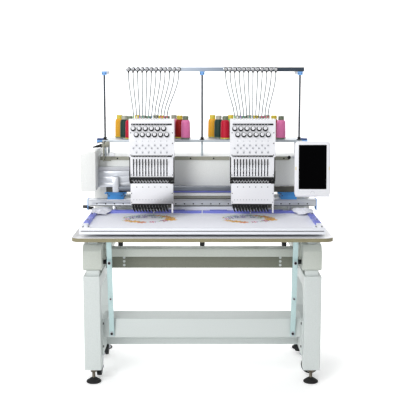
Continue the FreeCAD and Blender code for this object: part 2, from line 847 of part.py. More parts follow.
def tension_panel(x):
    """Upper front panel of a needle case."""
    half = tension_panel_half
    panel = box(x - half, x + half, case_front - panel_thickness, case_front, tension_bottom, case_top)
    return soften(panel, 3.0, Z_AXIS)


def tension_parts(x):
    """Tension knobs in two staggered rows, the thread guide strips and the lower guard bar."""
    face = case_front - panel_thickness
    parts = []
    for number, place in enumerate(needle_xs(x)):
        z = knob_rows[number % 2]
        knob = rod(place, face - 7, z, knob_radius, 7, Y_AXIS)
        knob = knob.fuse(rod(place, face - knob_depth, z, knob_radius - 3, knob_depth - 7, Y_AXIS))
        parts.append(knob.removeSplitter())
    for z in (case_top - 28, tension_bottom + 2):
        parts.append(box(x - 100, x + 88, face - 6, face, z, z + 7))
    parts.append(box(x - 104, x + 104, case_front - 16, case_front, case_bottom + 20, take_up_bottom))
    return parts


def take_up_panel(x):
    """Lower front panel with one slot for each take-up lever."""
    half = take_up_half
    y0 = case_front - panel_thickness + 2
    panel = box(x - half, x + half, y0, case_front, take_up_bottom, tension_bottom)
    slots = []
    z0 = take_up_bottom + 4
    for place in needle_xs(x):
        x0, x1 = place - slot_width / 2, place + slot_width / 2
        slots.append(box(x0, x1, y0 - 1, case_front + 1, z0, z0 + slot_height))
    return cut_all(panel, slots)


def lower_cover(x):
    """Folded sheet in front of the needle clamps, its lower strip and the corner guard."""
    half, t = cover_half, cover_sheet
    side_rear = needle_y + 15
    sheet = box(x - half, x + half, cover_front, side_rear, cover_bottom, case_bottom)
    sheet = sheet.cut(box(x - half + t, x + half - t, cover_front + t, side_rear, cover_bottom, case_bottom))
    face = cover_front + t
    strip = box(x - half + t, x + half - t, face, face + 6, cover_bottom - 6, cover_bottom + 4)
    guard = box(x + half - 8, x + half, cover_front, face, cover_bottom - 46, cover_bottom)
    return [sheet, strip, guard]


def needle_bar(x):
    """Needle bar with its clamp and needle, and the presser foot that comes down with it."""
    bar = rod(x, needle_y, bar_bottom, bar_radius, bar_top - bar_bottom, Z_AXIS)
    clamp = rod(x, needle_y, bar_bottom - 4, clamp_radius, 18, Z_AXIS)
    shank = rod(x, needle_y, needle_tip + 24, 1.0, bar_bottom - needle_tip - 24, Z_AXIS)
    blade = rod(x, needle_y, needle_tip + 6, needle_radius, 18, Z_AXIS)
    point = Part.makeCone(0.1, needle_radius, 6, V(x, needle_y, needle_tip), Z_AXIS)
    bar = bar.fuse(clamp).fuse(shank).fuse(blade).fuse(point).removeSplitter()
    back = needle_y + foot_bar_offset
    stem = rod(x, back, foot_ring_bottom + 6, foot_bar_radius, bar_top - 60 - foot_ring_bottom, Z_AXIS)
    ring_part = ring(x, needle_y, foot_ring_bottom, foot_ring_radius, 2.0, 3, Z_AXIS)
    web = box(x - 2.5, x + 2.5, needle_y + 4, back + 2, foot_ring_bottom, foot_ring_bottom + 12)
    foot = stem.fuse(ring_part).fuse(web).removeSplitter()
    return [bar, foot]


def take_up_lever(x):
    """Take-up lever on its pivot, reaching out through the panel's slot."""
    half = lever_thickness / 2
    length = math.hypot(lever_reach, lever_rise)
    across_y = 2.5 * lever_rise / length
    across_z = 2.5 * lever_reach / length
    tip_y, tip_z = pivot_y - lever_reach, pivot_z + lever_rise
    arm = prism_x([
        (pivot_y - across_y, pivot_z - across_z), (pivot_y + across_y, pivot_z + across_z),
        (tip_y + across_y, tip_z + across_z), (tip_y - across_y, tip_z - across_z),
    ], x - half, x + half)
    hub = rod(x - half, pivot_y, pivot_z, lever_hub, lever_thickness, X_AXIS)
    eye = rod(x - half, tip_y, tip_z, 4.0, lever_thickness, X_AXIS)
    lever = arm.fuse(hub).fuse(eye).removeSplitter()
    lever = lever.cut(rod(x - 5, tip_y, tip_z, 1.5, 10, X_AXIS))
    return lever.cut(rod(x - 5, pivot_y, pivot_z, pivot_radius + run_gap, 10, X_AXIS))


# ---------------------------------------------------------------- pantograph
def x_beam():
    """Cross beam of the pantograph with its end caps and the two legs that run on the guides."""
    front, rear = x_beam_front, x_beam_rear
    low, top = x_beam_bottom, x_beam_top
    w = x_beam_wall
    beam = soften(box(-x_beam_half, x_beam_half, front, rear, low, top), 2.0, X_AXIS)
    cuts = [box(-x_beam_half, x_beam_half, front + w, rear - w, low + w, top - w)]
    steps = int((x_beam_half - 30) / x_beam_hole_pitch)
    for step in range(-steps, steps + 1):
        cuts.append(rod(step * x_beam_hole_pitch, front - 1, low + 12, 2.0, w + 2, Y_AXIS))
    parts = [cut_all(beam, cuts)]
    guide_top = cross_bottom + cross_height + guide_height
    for side in SIDES:
        x0, x1 = side * x_beam_half, side * (x_beam_half + 4)
        parts.append(box(x0, x1, front - 2, rear + 2, low - 22, top + 2))
        x = side * guide_x
        leg = box(x - carriage_leg / 2, x + carriage_leg / 2, front, rear, guide_top + 20, low)
        half = guide_width / 2 - 2 * face_gap
        runner = box(x - half, x + half, front - 5, rear + 5, guide_top + face_gap, guide_top + 24)
        parts.append(leg.fuse(runner).removeSplitter())
    return parts


def carriage_cover(side):
    """Folded hood on the cross beam above each guide."""
    x = side * (guide_x - 6)
    half = carriage_cover_width / 2
    y0, y1 = x_beam_front, x_beam_front + carriage_cover_length
    low, top = x_beam_top, x_beam_top + carriage_cover_height
    hood = box(x - half, x + half, y0, y1, low, top)
    hood = hood.fuse(box(x - half - 15, x + half + 15, y0, y0 + 60, top - 10, top))
    hood = soften(hood.removeSplitter(), 1.0, X_AXIS)
    return hood.cut(box(x - half + 3, x + half - 3, y0 + 3, y1, low, top - 3))


def sash_bars():
    """Border frame: four bars, front corner plates and the plate that runs on the cross beam."""
    inner = sash_half - sash_bar
    near, far = sash_front + sash_bar, sash_back - sash_bar
    front_bar = box(-sash_half, sash_half, sash_front, near, sash_bottom, sash_top)
    groove = box(-sash_half, sash_half, sash_front, sash_front + 4, sash_bottom + 13, sash_bottom + 17)
    parts = [front_bar.cut(groove)]
    parts.append(box(-sash_half, sash_half, far, sash_back, sash_bottom, sash_top))
    for side in SIDES:
        parts.append(box(side * inner, side * sash_half, near, far, sash_bottom, sash_top))
        x0, x1 = side * (sash_half - 50), side * sash_half
        parts.append(soften(box(x0, x1, sash_front, sash_front + 50, sash_top, sash_top + 3), 6.0, Z_AXIS))
    hanger_top = x_beam_bottom - face_gap
    hanger = box(-180, 180, sash_back, sash_back + 8, sash_bottom + 3, hanger_top)
    hanger = hanger.fuse(box(-180, 180, sash_back + 8, x_beam_rear, hanger_top - 8, hanger_top))
    parts.append(hanger.removeSplitter())
    return parts


def clip(x0, x1, y0, y1, along_x):
    """Snap-on channel over a sash bar; its inner lip holds the cloth down."""
    t = clip_thickness
    top = sash_top + t
    cap = box(x0, x1, y0, y1, sash_top, top)
    lip_low = sash_bottom + cloth_lift + cloth_thickness + face_gap
    if along_x:
        lip = box(x0, x1, y0 - t, y0, lip_low, top)
    elif x0 > 0:
        lip = box(x0 - t, x0, y0, y1, lip_low, top)
    else:
        lip = box(x1, x1 + t, y0, y1, lip_low, top)
    return cap.fuse(lip).removeSplitter()


def cloth_clips():
    """Clips along the back bar and on both side bars."""
    parts = []
    far = sash_back - sash_bar
    count, gap = 4, 6.0
    reach = sash_half - sash_bar - 46
    length = (2 * reach - (count - 1) * gap) / count
    for step in range(count):
        x0 = -reach + step * (length + gap)
        parts.append(clip(x0, x0 + length, far, sash_back, True))
    for side in SIDES:
        x0, x1 = sorted((side * (sash_half - sash_bar), side * sash_half))
        for start in (far - 360, far - 190):
            parts.append(clip(x0, x1, start, start + 150, False))
    return parts


def cloth():
    """The cloth stretched inside the frame, held down by the clips' lips."""
    half = sash_half - sash_bar - face_gap
    y0, y1 = sash_front + sash_bar + face_gap, sash_back - sash_bar - face_gap
    low = sash_bottom + cloth_lift
    return box(-half, half, y0, y1, low, low + cloth_thickness)


# ---------------------------------------------------------------- thread stand
def thread_shelf():
    """Folded tray on six supports above the bridge."""
    y0, y1 = shelf_front, shelf_front + shelf_depth
    low = shelf_top - shelf_lip
    t = shelf_sheet
    tray = box(-shelf_half, shelf_half, y0, y1, low, shelf_top)
    tray = tray.cut(box(-shelf_half + t, shelf_half - t, y0 + t, y1 - t, low, shelf_top - t))
    parts = [tray]
    half = support_size / 2
    for x in (-post_x, 0.0, post_x):
        for y in (y0 + 18, y1 - 18):
            parts.append(box(x - half, x + half, y - half, y + half, bridge_top, shelf_top - t))
    return parts


def tree_posts():
    """Three upright posts of the thread tree."""
    return [rod(x, post_y, shelf_top, post_radius, post_height, Z_AXIS) for x in (-post_x, 0.0, post_x)]


def tree_bar():
    """Flat bar of the thread tree on its three clamps."""
    half = bar_thickness / 2
    bar = box(-bar_half, bar_half, post_y - half, post_y + half, bar_bottom_z, bar_bottom_z + bar_height)
    parts = [bar]
    for x in (-post_x, 0.0, post_x):
        low = bar_bottom_z - 18
        clamp = box(x - 13, x + 13, post_y - 12, post_y + 12, low, bar_bottom_z)
        depth = shelf_top + post_height - low
        parts.append(clamp.cut(rod(x, post_y, low, post_radius + run_gap, depth, Z_AXIS)))
    return parts


def disc_xs(centre):
    """The guide discs' places above a head."""
    first = centre - disc_pitch * (needle_count - 1) / 2
    return [first + disc_pitch * step for step in range(needle_count)]


def guide_discs():
    """Thread guide discs on the tree's bar, each with its tube holder below."""
    parts = []
    back = post_y - bar_thickness / 2
    front = back - disc_depth
    for centre in heads:
        for x in disc_xs(centre):
            disc = rod(x, back - 4, disc_z, disc_radius, 4, Y_AXIS)
            disc = disc.fuse(rod(x, front, disc_z, disc_radius - 2, disc_depth - 4, Y_AXIS))
            disc = disc.cut(rod(x, front, disc_z, 4, disc_depth, Y_AXIS))
            height = disc_z - disc_radius - tube_top() + 3
            holder = rod(x, front + 6, tube_top(), holder_radius, height, Z_AXIS)
            parts.append(disc.fuse(holder).removeSplitter())
    return parts


def tube_top():
    """Height of the upper end of the thread tubes."""
    return disc_z - disc_radius - holder_height


def tube_route(top_x, low_x):
    """Points of one thread tube, from its holder down to the needle case."""
    top = V(top_x, post_y - bar_thickness / 2 - disc_depth + 6, tube_top())
    low = V(low_x, case_front + 22, case_top + face_gap)
    drop = top.z - low.z
    points = []
    for share, slide in ((0.0, 0.0), (0.15, 0.0), (0.38, 0.26), (0.62, 0.66), (0.86, 1.0), (1.0, 1.0)):
        x = top.x + slide * (low.x - top.x)
        y = top.y + slide * (low.y - top.y)
        points.append(V(x, y, top.z - share * drop))
    return points


def rounded_path(points):
    """Straight runs joined by tangent arcs, each as large as its two runs allow."""
    edges = []
    start = points[0]
    for before, corner, after in zip(points, points[1:], points[2:]):
        arrive = (corner - before).normalize()
        leave = (after - corner).normalize()
        turn = arrive.getAngle(leave)
        reach = 0.45 * min((corner - before).Length, (after - corner).Length)
        first = corner - arrive * reach
        last = corner + leave * reach
        bisector = (leave - arrive).normalize()
        radius = reach / math.tan(turn / 2)
        middle = corner + bisector * (radius / math.cos(turn / 2) - radius)
        edges.append(Part.LineSegment(start, first).toShape())
        edges.append(Part.Arc(first, middle, last).toShape())
        start = last
    edges.append(Part.LineSegment(start, points[-1]).toShape())
    return Part.Wire(edges)


def thread_tubes():
    """Clear tubes that lead each thread from the tree to its needle."""
    tubes = []
    for centre in heads:
        for top_x, low_x in zip(disc_xs(centre), needle_xs(centre)):
            points = tube_route(top_x, low_x)
            path = rounded_path(points)
            direction = points[1] - points[0]
            circle = Part.Wire(Part.makeCircle(tube_radius, points[0], direction))
            tubes.append(path.makePipeShell([circle], True, False))
    return tubes


def cone_places():
    """The cones' places on the shelf: three staggered rows behind each head."""
    places = []
    for centre in heads:
        first = centre + cone_group_shift - cone_pitch * (needle_count - 1) / 2
        for step in range(needle_count):
            row = cone_rows - 1 - step % cone_rows
            places.append((first + cone_pitch * step, cone_first_row + row * cone_row_pitch))
    return places


def thread_cone(x, y):
    """Wound cone with its foot and cap, bored for the pin."""
    z = shelf_top + 4
    r = cone_radius
    return turned([
        (cone_bore, z), (r + 1.5, z), (r + 1.5, z + 3), (r, z + 5), (r - 1.5, z + 84), (r - 4, z + 92),
        (15.5, z + 100), (15.5, z + 103), (14, z + 118), (cone_bore, z + 118),
    ], x, y)


def cone_pin(x, y):
    """Spool pin with its round base on the shelf."""
    base = rod(x, y, shelf_top, 20, 4, Z_AXIS)
    return base.fuse(rod(x, y, shelf_top, pin_radius, 118, Z_AXIS)).removeSplitter()


# ---------------------------------------------------------------- bobbin winder and control panel
winder_x = -bridge_half + 25.0
winder_y = bridge_front - 18.0
winder_z = bridge_top + 60.0
winder_slope = 12.0          # degrees below level


def winder_axis():
    """Direction of the bobbin spindle, outwards to the left and slightly down."""
    angle = math.radians(winder_slope)
    return V(-math.cos(angle), 0, -math.sin(angle))


def bobbin_winder():
    """Bracket and small motor of the bobbin winder on the bridge's upper edge."""
    plate = box(winder_x, winder_x + 6, winder_y - 18, bridge_front, bridge_top - 24, winder_z + 18)
    foot = box(winder_x, winder_x + 40, bridge_front - 5, bridge_front, bridge_top - 24, bridge_top)
    axis = winder_axis()
    motor_start = V(winder_x + 3, winder_y, winder_z) - axis * 30
    motor = Part.makeCylinder(14, 30, motor_start, axis)
    body = plate.fuse(foot).fuse(motor)
    collar = Part.makeCylinder(9, 10, V(winder_x + 3, winder_y, winder_z), axis)
    body = body.fuse(collar).removeSplitter()
    bore = Part.makeCylinder(3 + run_gap, 24, V(winder_x + 3, winder_y, winder_z) + axis * 10, axis * -1)
    return body.cut(bore)


def winder_spindle():
    """Stepped spindle that drives a bobbin."""
    axis = winder_axis()
    base = V(winder_x + 3, winder_y, winder_z)
    shaft = Part.makeCylinder(3, 22 + face_gap, base + axis * (10 + face_gap), axis * -1)
    hub = Part.makeCylinder(10, 6, base + axis * (10 + face_gap), axis)
    body = Part.makeCylinder(7, 22, base + axis * (16 + face_gap), axis)
    tip = Part.makeCone(5, 3.5, 18, base + axis * (38 + face_gap), axis)
    return shaft.fuse(hub).fuse(body).fuse(tip).removeSplitter()


def panel_frame(shapes):
    """Lean the panel's pieces back about its hinge."""
    for shape in shapes:
        shape.rotate(V(0, hinge_y, hinge_z), X_AXIS, panel_tilt)
    return shapes


def control_panel():
    """Rounded housing with a thick lower lip, screen recess, button well and hinge ears."""
    x1 = half_width
    x0 = x1 - panel_width
    top = panel_bottom + panel_height
    body = box(x0, x1, panel_front, panel_front + panel_depth, panel_bottom, top)
    body = soften(body, panel_corner, Y_AXIS)
    lip_length = panel_width - 2 * panel_corner
    lip = rod(x0 + panel_corner, panel_front + 12, panel_bottom + 12, 12, lip_length, X_AXIS)
    body = body.fuse(lip)
    middle = (x0 + x1) / 2
    screen_low = panel_bottom + 38
    recess = box(middle - screen_width / 2, middle + screen_width / 2, panel_front, panel_front + 3,
                 screen_low, screen_low + screen_height)
    body = body.cut(recess)
    well = rod(middle, panel_front, panel_bottom + 19, button_radius + face_gap, 5, Y_AXIS)
    body = body.cut(well)
    pin_start = bridge_half + 13
    pin_length = 60.0
    back = panel_front + panel_depth
    for x in (pin_start, pin_start + 50 + face_gap):
        ear = box(x, x + 10 - face_gap, back, hinge_y, hinge_z - 12, hinge_z + 12)
        ear = ear.fuse(rod(x, hinge_y, hinge_z, 12, 10 - face_gap, X_AXIS))
        body = body.fuse(ear)
    body = body.fuse(rod(pin_start, hinge_y, hinge_z, hinge_pin, pin_length, X_AXIS)).removeSplitter()
    screen = box(middle - screen_width / 2, middle + screen_width / 2, panel_front + 0.5, panel_front + 3,
                 screen_low, screen_low + screen_height)
    button = rod(middle, panel_front, panel_bottom + 19, button_radius, 5 - button_travel - face_gap, Y_AXIS)
    return panel_frame([body, screen, button])


# ---------------------------------------------------------------- write every sub-part
os.makedirs("parts", exist_ok=True)

save("stand_frame_left", stand_frame(-1), *caster_plates(-1))
save("stand_frame_right", stand_frame(1), *caster_plates(1))
save("stand_lower_beam", *lower_beam())
save("table_struts", *table_struts())
for name, x, y in foot_places():
    save(f"levelling_foot_{name}", *levelling_foot(x, y))
for name, x, y, heading in caster_places():
    fork, pedal, wheel = caster(x, y, heading)
    save(f"caster_fork_{name}", fork, pedal)
    save(f"caster_wheel_{name}", wheel)

save("bed_side_rails", *[bed_side_rail(side) for side in SIDES])
save("bed_cross_beam", *bed_cross_beam())
save("rubber_bumpers", *rubber_bumpers())
save("table_top", table_top(), table_edge_band())

save("rear_housing", *rear_housing())
save("bridge_beam", *bridge_beam())
save("bridge_front_cover", *bridge_front_cover())
save("slide_rail_profile", slide_rail_profile())
save("colour_change_box", end_box(-1))
save("right_end_box", end_box(1), panel_bracket())
save("main_shaft", main_shaft())
save("main_motor", main_motor())

save("head_arms", *head_arm(heads[0]), *head_arm(heads[1]))
save("cylinder_arms", *cylinder_arm(heads[0]), *cylinder_arm(heads[1]))
save("needle_plates", *[needle_plate(x) for x in heads])
save("rotary_hook_left", hook(heads[0]))
save("rotary_hook_right", hook(heads[1]))

save("needle_cases", *case_body(heads[0]), *case_body(heads[1]), *case_link())
save("tension_panels", *[tension_panel(x) for x in heads])
save("tension_knobs", *tension_parts(heads[0]), *tension_parts(heads[1]))
save("take_up_panels", *[take_up_panel(x) for x in heads])
save("lower_covers", *lower_cover(heads[0]), *lower_cover(heads[1]))

parked_bars = []
parked_levers = []
for centre in heads:
    for number, place in enumerate(needle_xs(centre), start=1):
        if number != active_needle:
            parked_bars.extend(needle_bar(place))
            parked_levers.append(take_up_lever(place))
save("parked_needle_bars", *parked_bars)
save("parked_take_up_levers", *parked_levers)
for name, x in zip(("left", "right"), heads):
    save(f"needle_bar_{name}", *needle_bar(x))
    save(f"take_up_lever_{name}", take_up_lever(x))

save("x_beam", *x_beam())
save("carriage_covers", *[carriage_cover(side) for side in SIDES])
save("sash_bars", *sash_bars())
save("cloth_clips", *cloth_clips())
save("cloth", cloth())

save("thread_shelf", *thread_shelf())
save("thread_tree", *tree_posts(), *tree_bar())
save("guide_discs", *guide_discs())
save("thread_tubes", *thread_tubes())
save("thread_cones", *[thread_cone(x, y) for x, y in cone_places()])
save("cone_pins", *[cone_pin(x, y) for x, y in cone_places()])

save("bobbin_winder", bobbin_winder())
save("winder_spindle", winder_spindle())
panel_body, panel_screen, home_button = control_panel()
save("control_panel", panel_body)
save("panel_screen", panel_screen)
save("home_button", home_button)
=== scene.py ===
# %% [markdown]
# # A two-head embroidery machine
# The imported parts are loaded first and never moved. Everything below dresses them: each real piece gets its
# finish, its small fittings and its soft goods, in the same frame as the parts.

# %% Load the parts
import json
import math
import random

import bmesh
import bpy
from mathutils import Matrix, Vector, noise

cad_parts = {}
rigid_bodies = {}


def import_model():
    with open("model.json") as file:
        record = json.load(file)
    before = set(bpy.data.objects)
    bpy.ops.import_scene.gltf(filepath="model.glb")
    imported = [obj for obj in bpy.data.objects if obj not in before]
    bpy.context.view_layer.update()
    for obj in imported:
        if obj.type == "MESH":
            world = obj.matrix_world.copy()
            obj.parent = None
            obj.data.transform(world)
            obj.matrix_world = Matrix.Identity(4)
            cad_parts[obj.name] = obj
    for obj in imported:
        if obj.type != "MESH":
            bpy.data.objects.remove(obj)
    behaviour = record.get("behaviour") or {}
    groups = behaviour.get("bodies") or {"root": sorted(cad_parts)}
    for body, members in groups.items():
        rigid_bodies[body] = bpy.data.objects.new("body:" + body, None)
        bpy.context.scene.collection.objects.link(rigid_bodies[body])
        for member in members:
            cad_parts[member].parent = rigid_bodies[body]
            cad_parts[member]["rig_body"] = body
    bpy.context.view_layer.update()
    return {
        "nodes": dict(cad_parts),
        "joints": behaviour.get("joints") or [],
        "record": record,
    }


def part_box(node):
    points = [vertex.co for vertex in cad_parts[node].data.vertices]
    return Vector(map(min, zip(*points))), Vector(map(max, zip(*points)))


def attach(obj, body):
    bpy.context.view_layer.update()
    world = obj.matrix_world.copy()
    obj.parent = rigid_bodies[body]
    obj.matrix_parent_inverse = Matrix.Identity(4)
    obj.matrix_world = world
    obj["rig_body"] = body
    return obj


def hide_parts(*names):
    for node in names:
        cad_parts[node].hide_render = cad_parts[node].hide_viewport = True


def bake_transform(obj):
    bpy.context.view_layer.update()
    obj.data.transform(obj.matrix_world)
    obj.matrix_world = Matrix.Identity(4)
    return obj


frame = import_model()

# %% [markdown]
# The camera stands a little above the thread tree, about four and a half metres in front, with a long lens,
# the way a catalogue picture of a tall machine is taken: upright lines stay nearly upright.

# %% Camera
CAMERA_PLACE = (-0.011, -4.4445, 1.4718)
CAMERA_DOWN = 8.1
camera = bpy.data.objects.new("camera", bpy.data.cameras.new("camera"))
camera.data.lens = 79.0
camera.data.sensor_width = 36.0
camera.location = CAMERA_PLACE
camera.rotation_euler = (math.radians(90 - CAMERA_DOWN), 0, 0)
bpy.context.collection.objects.link(camera)
bpy.context.scene.camera = camera
print("camera at", CAMERA_PLACE)

# %% [markdown]
# Finishes are node trees. One function turns an sRGB hex code into the linear values that shaders use, and
# one adds a node with its settings, socket values and links. Patterns read the piece's own coordinates in
# metres, so a scale of 1000 / size gives a grain of that size in millimetres.

# %% Helpers for finishes
def linear(code):
    """An sRGB hex code as linear red, green, blue and alpha."""
    values = [int(code[i:i + 2], 16) / 255 for i in (0, 2, 4)]
    return [v / 12.92 if v <= 0.04045 else ((v + 0.055) / 1.055) ** 2.4 for v in values] + [1.0]


def add(tree, kind, sockets=None, links=None, **settings):
    """Add one node with its own settings, its socket values and its links."""
    node = tree.nodes.new("ShaderNode" + kind)
    for name, value in settings.items():
        setattr(node, name, value)
    for name, value in (sockets or {}).items():
        node.inputs[name].default_value = value
    for name, (source, output) in (links or {}).items():
        tree.links.new(source.outputs[output], node.inputs[name])
    return node


def finish(name, code, roughness, metallic=0.0, **sockets):
    """A new material with its plain colour and gloss; returns it with its tree and shader."""
    material = bpy.data.materials.new(name)
    material.use_nodes = True
    shader = material.node_tree.nodes["Principled BSDF"]
    shader.inputs["Base Color"].default_value = linear(code)
    shader.inputs["Roughness"].default_value = roughness
    shader.inputs["Metallic"].default_value = metallic
    for socket, value in sockets.items():
        shader.inputs[socket.replace("_", " ")].default_value = value
    return material, material.node_tree, shader


def ramp_between(tree, source, output, dark, light, low=0.3, high=0.7):
    """Colours between two hex codes along a pattern's value."""
    ramp = add(tree, "ValToRGB", links={"Fac": (source, output)})
    first, last = ramp.color_ramp.elements
    first.position, last.position = low, high
    first.color, last.color = linear(dark), linear(light)
    return ramp


def grained(name, light, dark, roughness, size, depth, metallic=0.0, stretch=(1, 1, 1), **sockets):
    """An even grain: size and depth in mm, and a stretch above 1 draws it out along an axis."""
    material, tree, shader = finish(name, light, roughness, metallic, **sockets)
    place = add(tree, "TexCoord")
    scale = [1000 / (size * s) for s in stretch]
    spread = add(tree, "Mapping", {"Scale": scale}, {"Vector": (place, "Object")})
    grain = add(tree, "TexNoise", {"Scale": 1.0, "Detail": 3.0, "Roughness": 0.6},
                {"Vector": (spread, "Vector")})
    tone = ramp_between(tree, grain, "Fac", dark, light)
    tree.links.new(tone.outputs["Color"], shader.inputs["Base Color"])
    bump = add(tree, "Bump", {"Strength": 0.6, "Distance": depth / 1000}, {"Height": (grain, "Fac")})
    tree.links.new(bump.outputs["Normal"], shader.inputs["Normal"])
    return material


# %% [markdown]
# Cast and sheet covers are sprayed with off-white enamel, which flows out but keeps a faint orange peel a few
# millimetres across. The stand is powder coated, which is duller and finer; its grain is drawn three times
# coarser than the real 1 mm so that it shows.

# %% Painted finishes
enamel = grained("off_white_enamel", "E8EAE8", "DFE1DF", 0.36, 4.0, 0.02, Coat_Weight=0.15)
# Warm grey enamel: the bobbin winder's own colour, and painted shade on the bridge's top flange and on a band
# under the bridge.
grey_enamel_and_painted_shade = grained("warm_grey_enamel_and_painted_shade", "9D9D8F", "919184", 0.42, 4.0, 0.02)
powder = grained("pale_powder_coat", "CDD3D2", "C2C9C7", 0.48, 3.0, 0.03)
rail_paint = grained("grey_green_powder_coat", "BFC4BD", "B3B9B1", 0.48, 3.0, 0.03)
# Painted shade: a dark warm grey for the bed cross beam's recessed panel, standing for the shade under the
# table.
painted_shade_coat = grained("painted_shade_under_table", "7C7F72", "707366", 0.52, 3.0, 0.03)
teal_enamel = grained("pale_teal_enamel", "BCD3D3", "A9C3C4", 0.42, 3.0, 0.02)
motor_paint = grained("black_motor_paint", "1C1D1F", "121314", 0.45, 2.0, 0.03)
print("painted finishes ready")

# %% [markdown]
# The table is particle board under a pale melamine laminate, whose print has a soft speckle, closed with an
# olive-brown PVC strip that shows faint draw lines along its length.

# %% Table finishes
laminate = grained("melamine_laminate", "EEEFF0", "E5E6E9", 0.33, 2.5, 0.01, Specular_IOR_Level=0.5)
edge_strip = grained("olive_pvc_strip", "8E8869", "7A7459", 0.42, 2.0, 0.02, stretch=(20, 20, 1))

# %% [markdown]
# Mouldings: ABS takes the mould's spark-eroded texture, so it looks satin. Nylon brackets are the same but a
# little glossier, and PVC clips show long extrusion lines.

# %% Moulded finishes
white_abs = grained("white_abs", "EFF0F3", "E6E7EC", 0.34, 1.6, 0.01)
grey_abs = grained("light_grey_abs", "C8CACF", "BCBEC4", 0.40, 1.6, 0.01)
sky_abs = grained("sky_blue_abs", "54A8F0", "4298E4", 0.42, 1.8, 0.03)
pale_blue_abs = grained("pale_blue_abs", "8DBDF0", "7FB1E6", 0.38, 1.8, 0.02)
nylon_blue = grained("blue_nylon", "7FB4F0", "6FA5E4", 0.36, 1.5, 0.02)
nylon_navy = grained("navy_nylon", "2B4C86", "213D70", 0.40, 1.5, 0.02)
violet_pvc = grained("violet_pvc", "8088DE", "6E77D0", 0.36, 1.2, 0.02, stretch=(30, 1, 1))
black_abs = grained("black_abs", "17181B", "0E0F11", 0.42, 1.4, 0.02)
rubber = grained("black_rubber", "1B1B1C", "111112", 0.78, 1.2, 0.05)
cream_abs = grained("cream_abs", "EADFC0", "DFD2AE", 0.45, 1.5, 0.01)
yellow_abs = grained("yellow_abs", "E6D24A", "D8C238", 0.40, 1.5, 0.02)
olive_abs = grained("olive_grey_abs", "7C8670", "6C765F", 0.45, 1.5, 0.02)
pale_cap_abs = grained("pale_grey_abs", "B9BBAE", "A9AB9C", 0.45, 1.5, 0.02)
tyre_rubber = grained("polyurethane_tread", "17191C", "0E0F12", 0.60, 2.0, 0.03, Specular_IOR_Level=0.3)
hub_nylon = grained("slate_nylon_hub", "333D49", "28313B", 0.50, 1.8, 0.02, Specular_IOR_Level=0.3)
steel_blue = grained("steel_blue_sheet", "C3CBD1", "B4BDC4", 0.38, 2.0, 0.01, 0.2, stretch=(40, 1, 1))
# Painted shade: a dark grey for slabs that stand for the shadowed recess under the bridge and the shade
# behind the presser feet.
painted_recess_shade = grained("painted_shade_in_recesses", "55554D", "484841", 0.55, 2.0, 0.02)
dark_steel = grained("drawn_steel_tube", "8B9098", "6C717A", 0.34, 1.5, 0.01, 0.6, stretch=(60, 1, 1))
print("moulded finishes ready")

# %% [markdown]
# Metals keep the default IOR. Anodised extrusions and ground steel show fine lines along their length, drawn
# about 1.5 mm wide so that they show; chrome is near mirror smooth with the faintest unevenness; black oxide
# is dark and oily; zinc plating on the screws of the feet is warm.

# %% Metal finishes
anodised = grained("anodised_aluminium", "DADDE2", "C6CAD0", 0.34, 1.5, 0.01, 0.75, stretch=(60, 1, 1))
anodised_up = grained("brushed_steel_tube", "565C66", "3A3F48", 0.34, 1.5, 0.01, 0.6, stretch=(1, 1, 60))

# The thread tree's top bar is brushed steel. Its colour is a painted reflection along its length: near white
# at the left end, grey-blue in the middle and dark at the right.
brushed_bar_painted_reflection, tree, shader = finish("brushed_steel_bar_painted_reflection", "B7C3D4", 0.32, 0.35)
place = add(tree, "TexCoord")
spread = add(tree, "Mapping", {"Scale": (10, 800, 800)}, {"Vector": (place, "Object")})
lines = add(tree, "TexNoise", {"Scale": 1.0, "Detail": 3.0}, {"Vector": (spread, "Vector")})
along = add(tree, "SeparateXYZ", links={"Vector": (place, "Object")})
share = add(tree, "MapRange", {"From Min": -0.53, "From Max": 0.53}, {"Value": (along, "X")})
painted_reflection_ramp = ramp_between(tree, share, "Result", "E6EAEF", "46505D", 0.05, 0.86)
painted_reflection_middle = painted_reflection_ramp.color_ramp.elements.new(0.5)
painted_reflection_middle.color = linear("AEBACB")
bump = add(tree, "Bump", {"Strength": 0.5, "Distance": 0.00001}, {"Height": (lines, "Fac")})
tree.links.new(painted_reflection_ramp.outputs["Color"], shader.inputs["Base Color"])
tree.links.new(bump.outputs["Normal"], shader.inputs["Normal"])
ground = grained("ground_steel", "C6C9CE", "AEB2B8", 0.28, 1.2, 0.01, 1.0, stretch=(1, 40, 1))
chrome = grained("chrome_plate", "E3E5E8", "D3D6DA", 0.10, 8.0, 0.005, 1.0)
oxide = grained("black_oxide_steel", "17181B", "0C0D0F", 0.40, 1.5, 0.02, 0.15, Specular_IOR_Level=0.35)
zinc = grained("zinc_plate", "8F877A", "6F685D", 0.36, 2.0, 0.02, 0.8)
brown_screw = grained("brown_screw", "5A4632", "453524", 0.45, 1.0, 0.02, 0.4)

# %% [markdown]
# The display is toughened glass over a dark panel: black, very smooth, with soft finger marks that only
# change the roughness. The thread tubes are clear silicone hose; most of the light passes, and the wall looks
# milky.

# %% Glass and silicone
glass_black, tree, shader = finish("black_display_glass", "020203", 0.08, Specular_IOR_Level=0.04)
place = add(tree, "TexCoord")
marks = add(tree, "TexNoise", {"Scale": 18.0, "Detail": 2.0}, {"Vector": (place, "Object")})
smear = add(tree, "MapRange", {"To Min": 0.05, "To Max": 0.16}, {"Value": (marks, "Fac")})
tree.links.new(smear.outputs["Result"], shader.inputs["Roughness"])

silicone, tree, shader = finish("clear_silicone", "868E92", 0.30, Transmission_Weight=0.1, IOR=1.41)
place = add(tree, "TexCoord")
milk = add(tree, "TexNoise", {"Scale": 120.0}, {"Vector": (place, "Object")})
tone = ramp_between(tree, milk, "Fac", "788084", "949CA0")
tree.links.new(tone.outputs["Color"], shader.inputs["Base Color"])

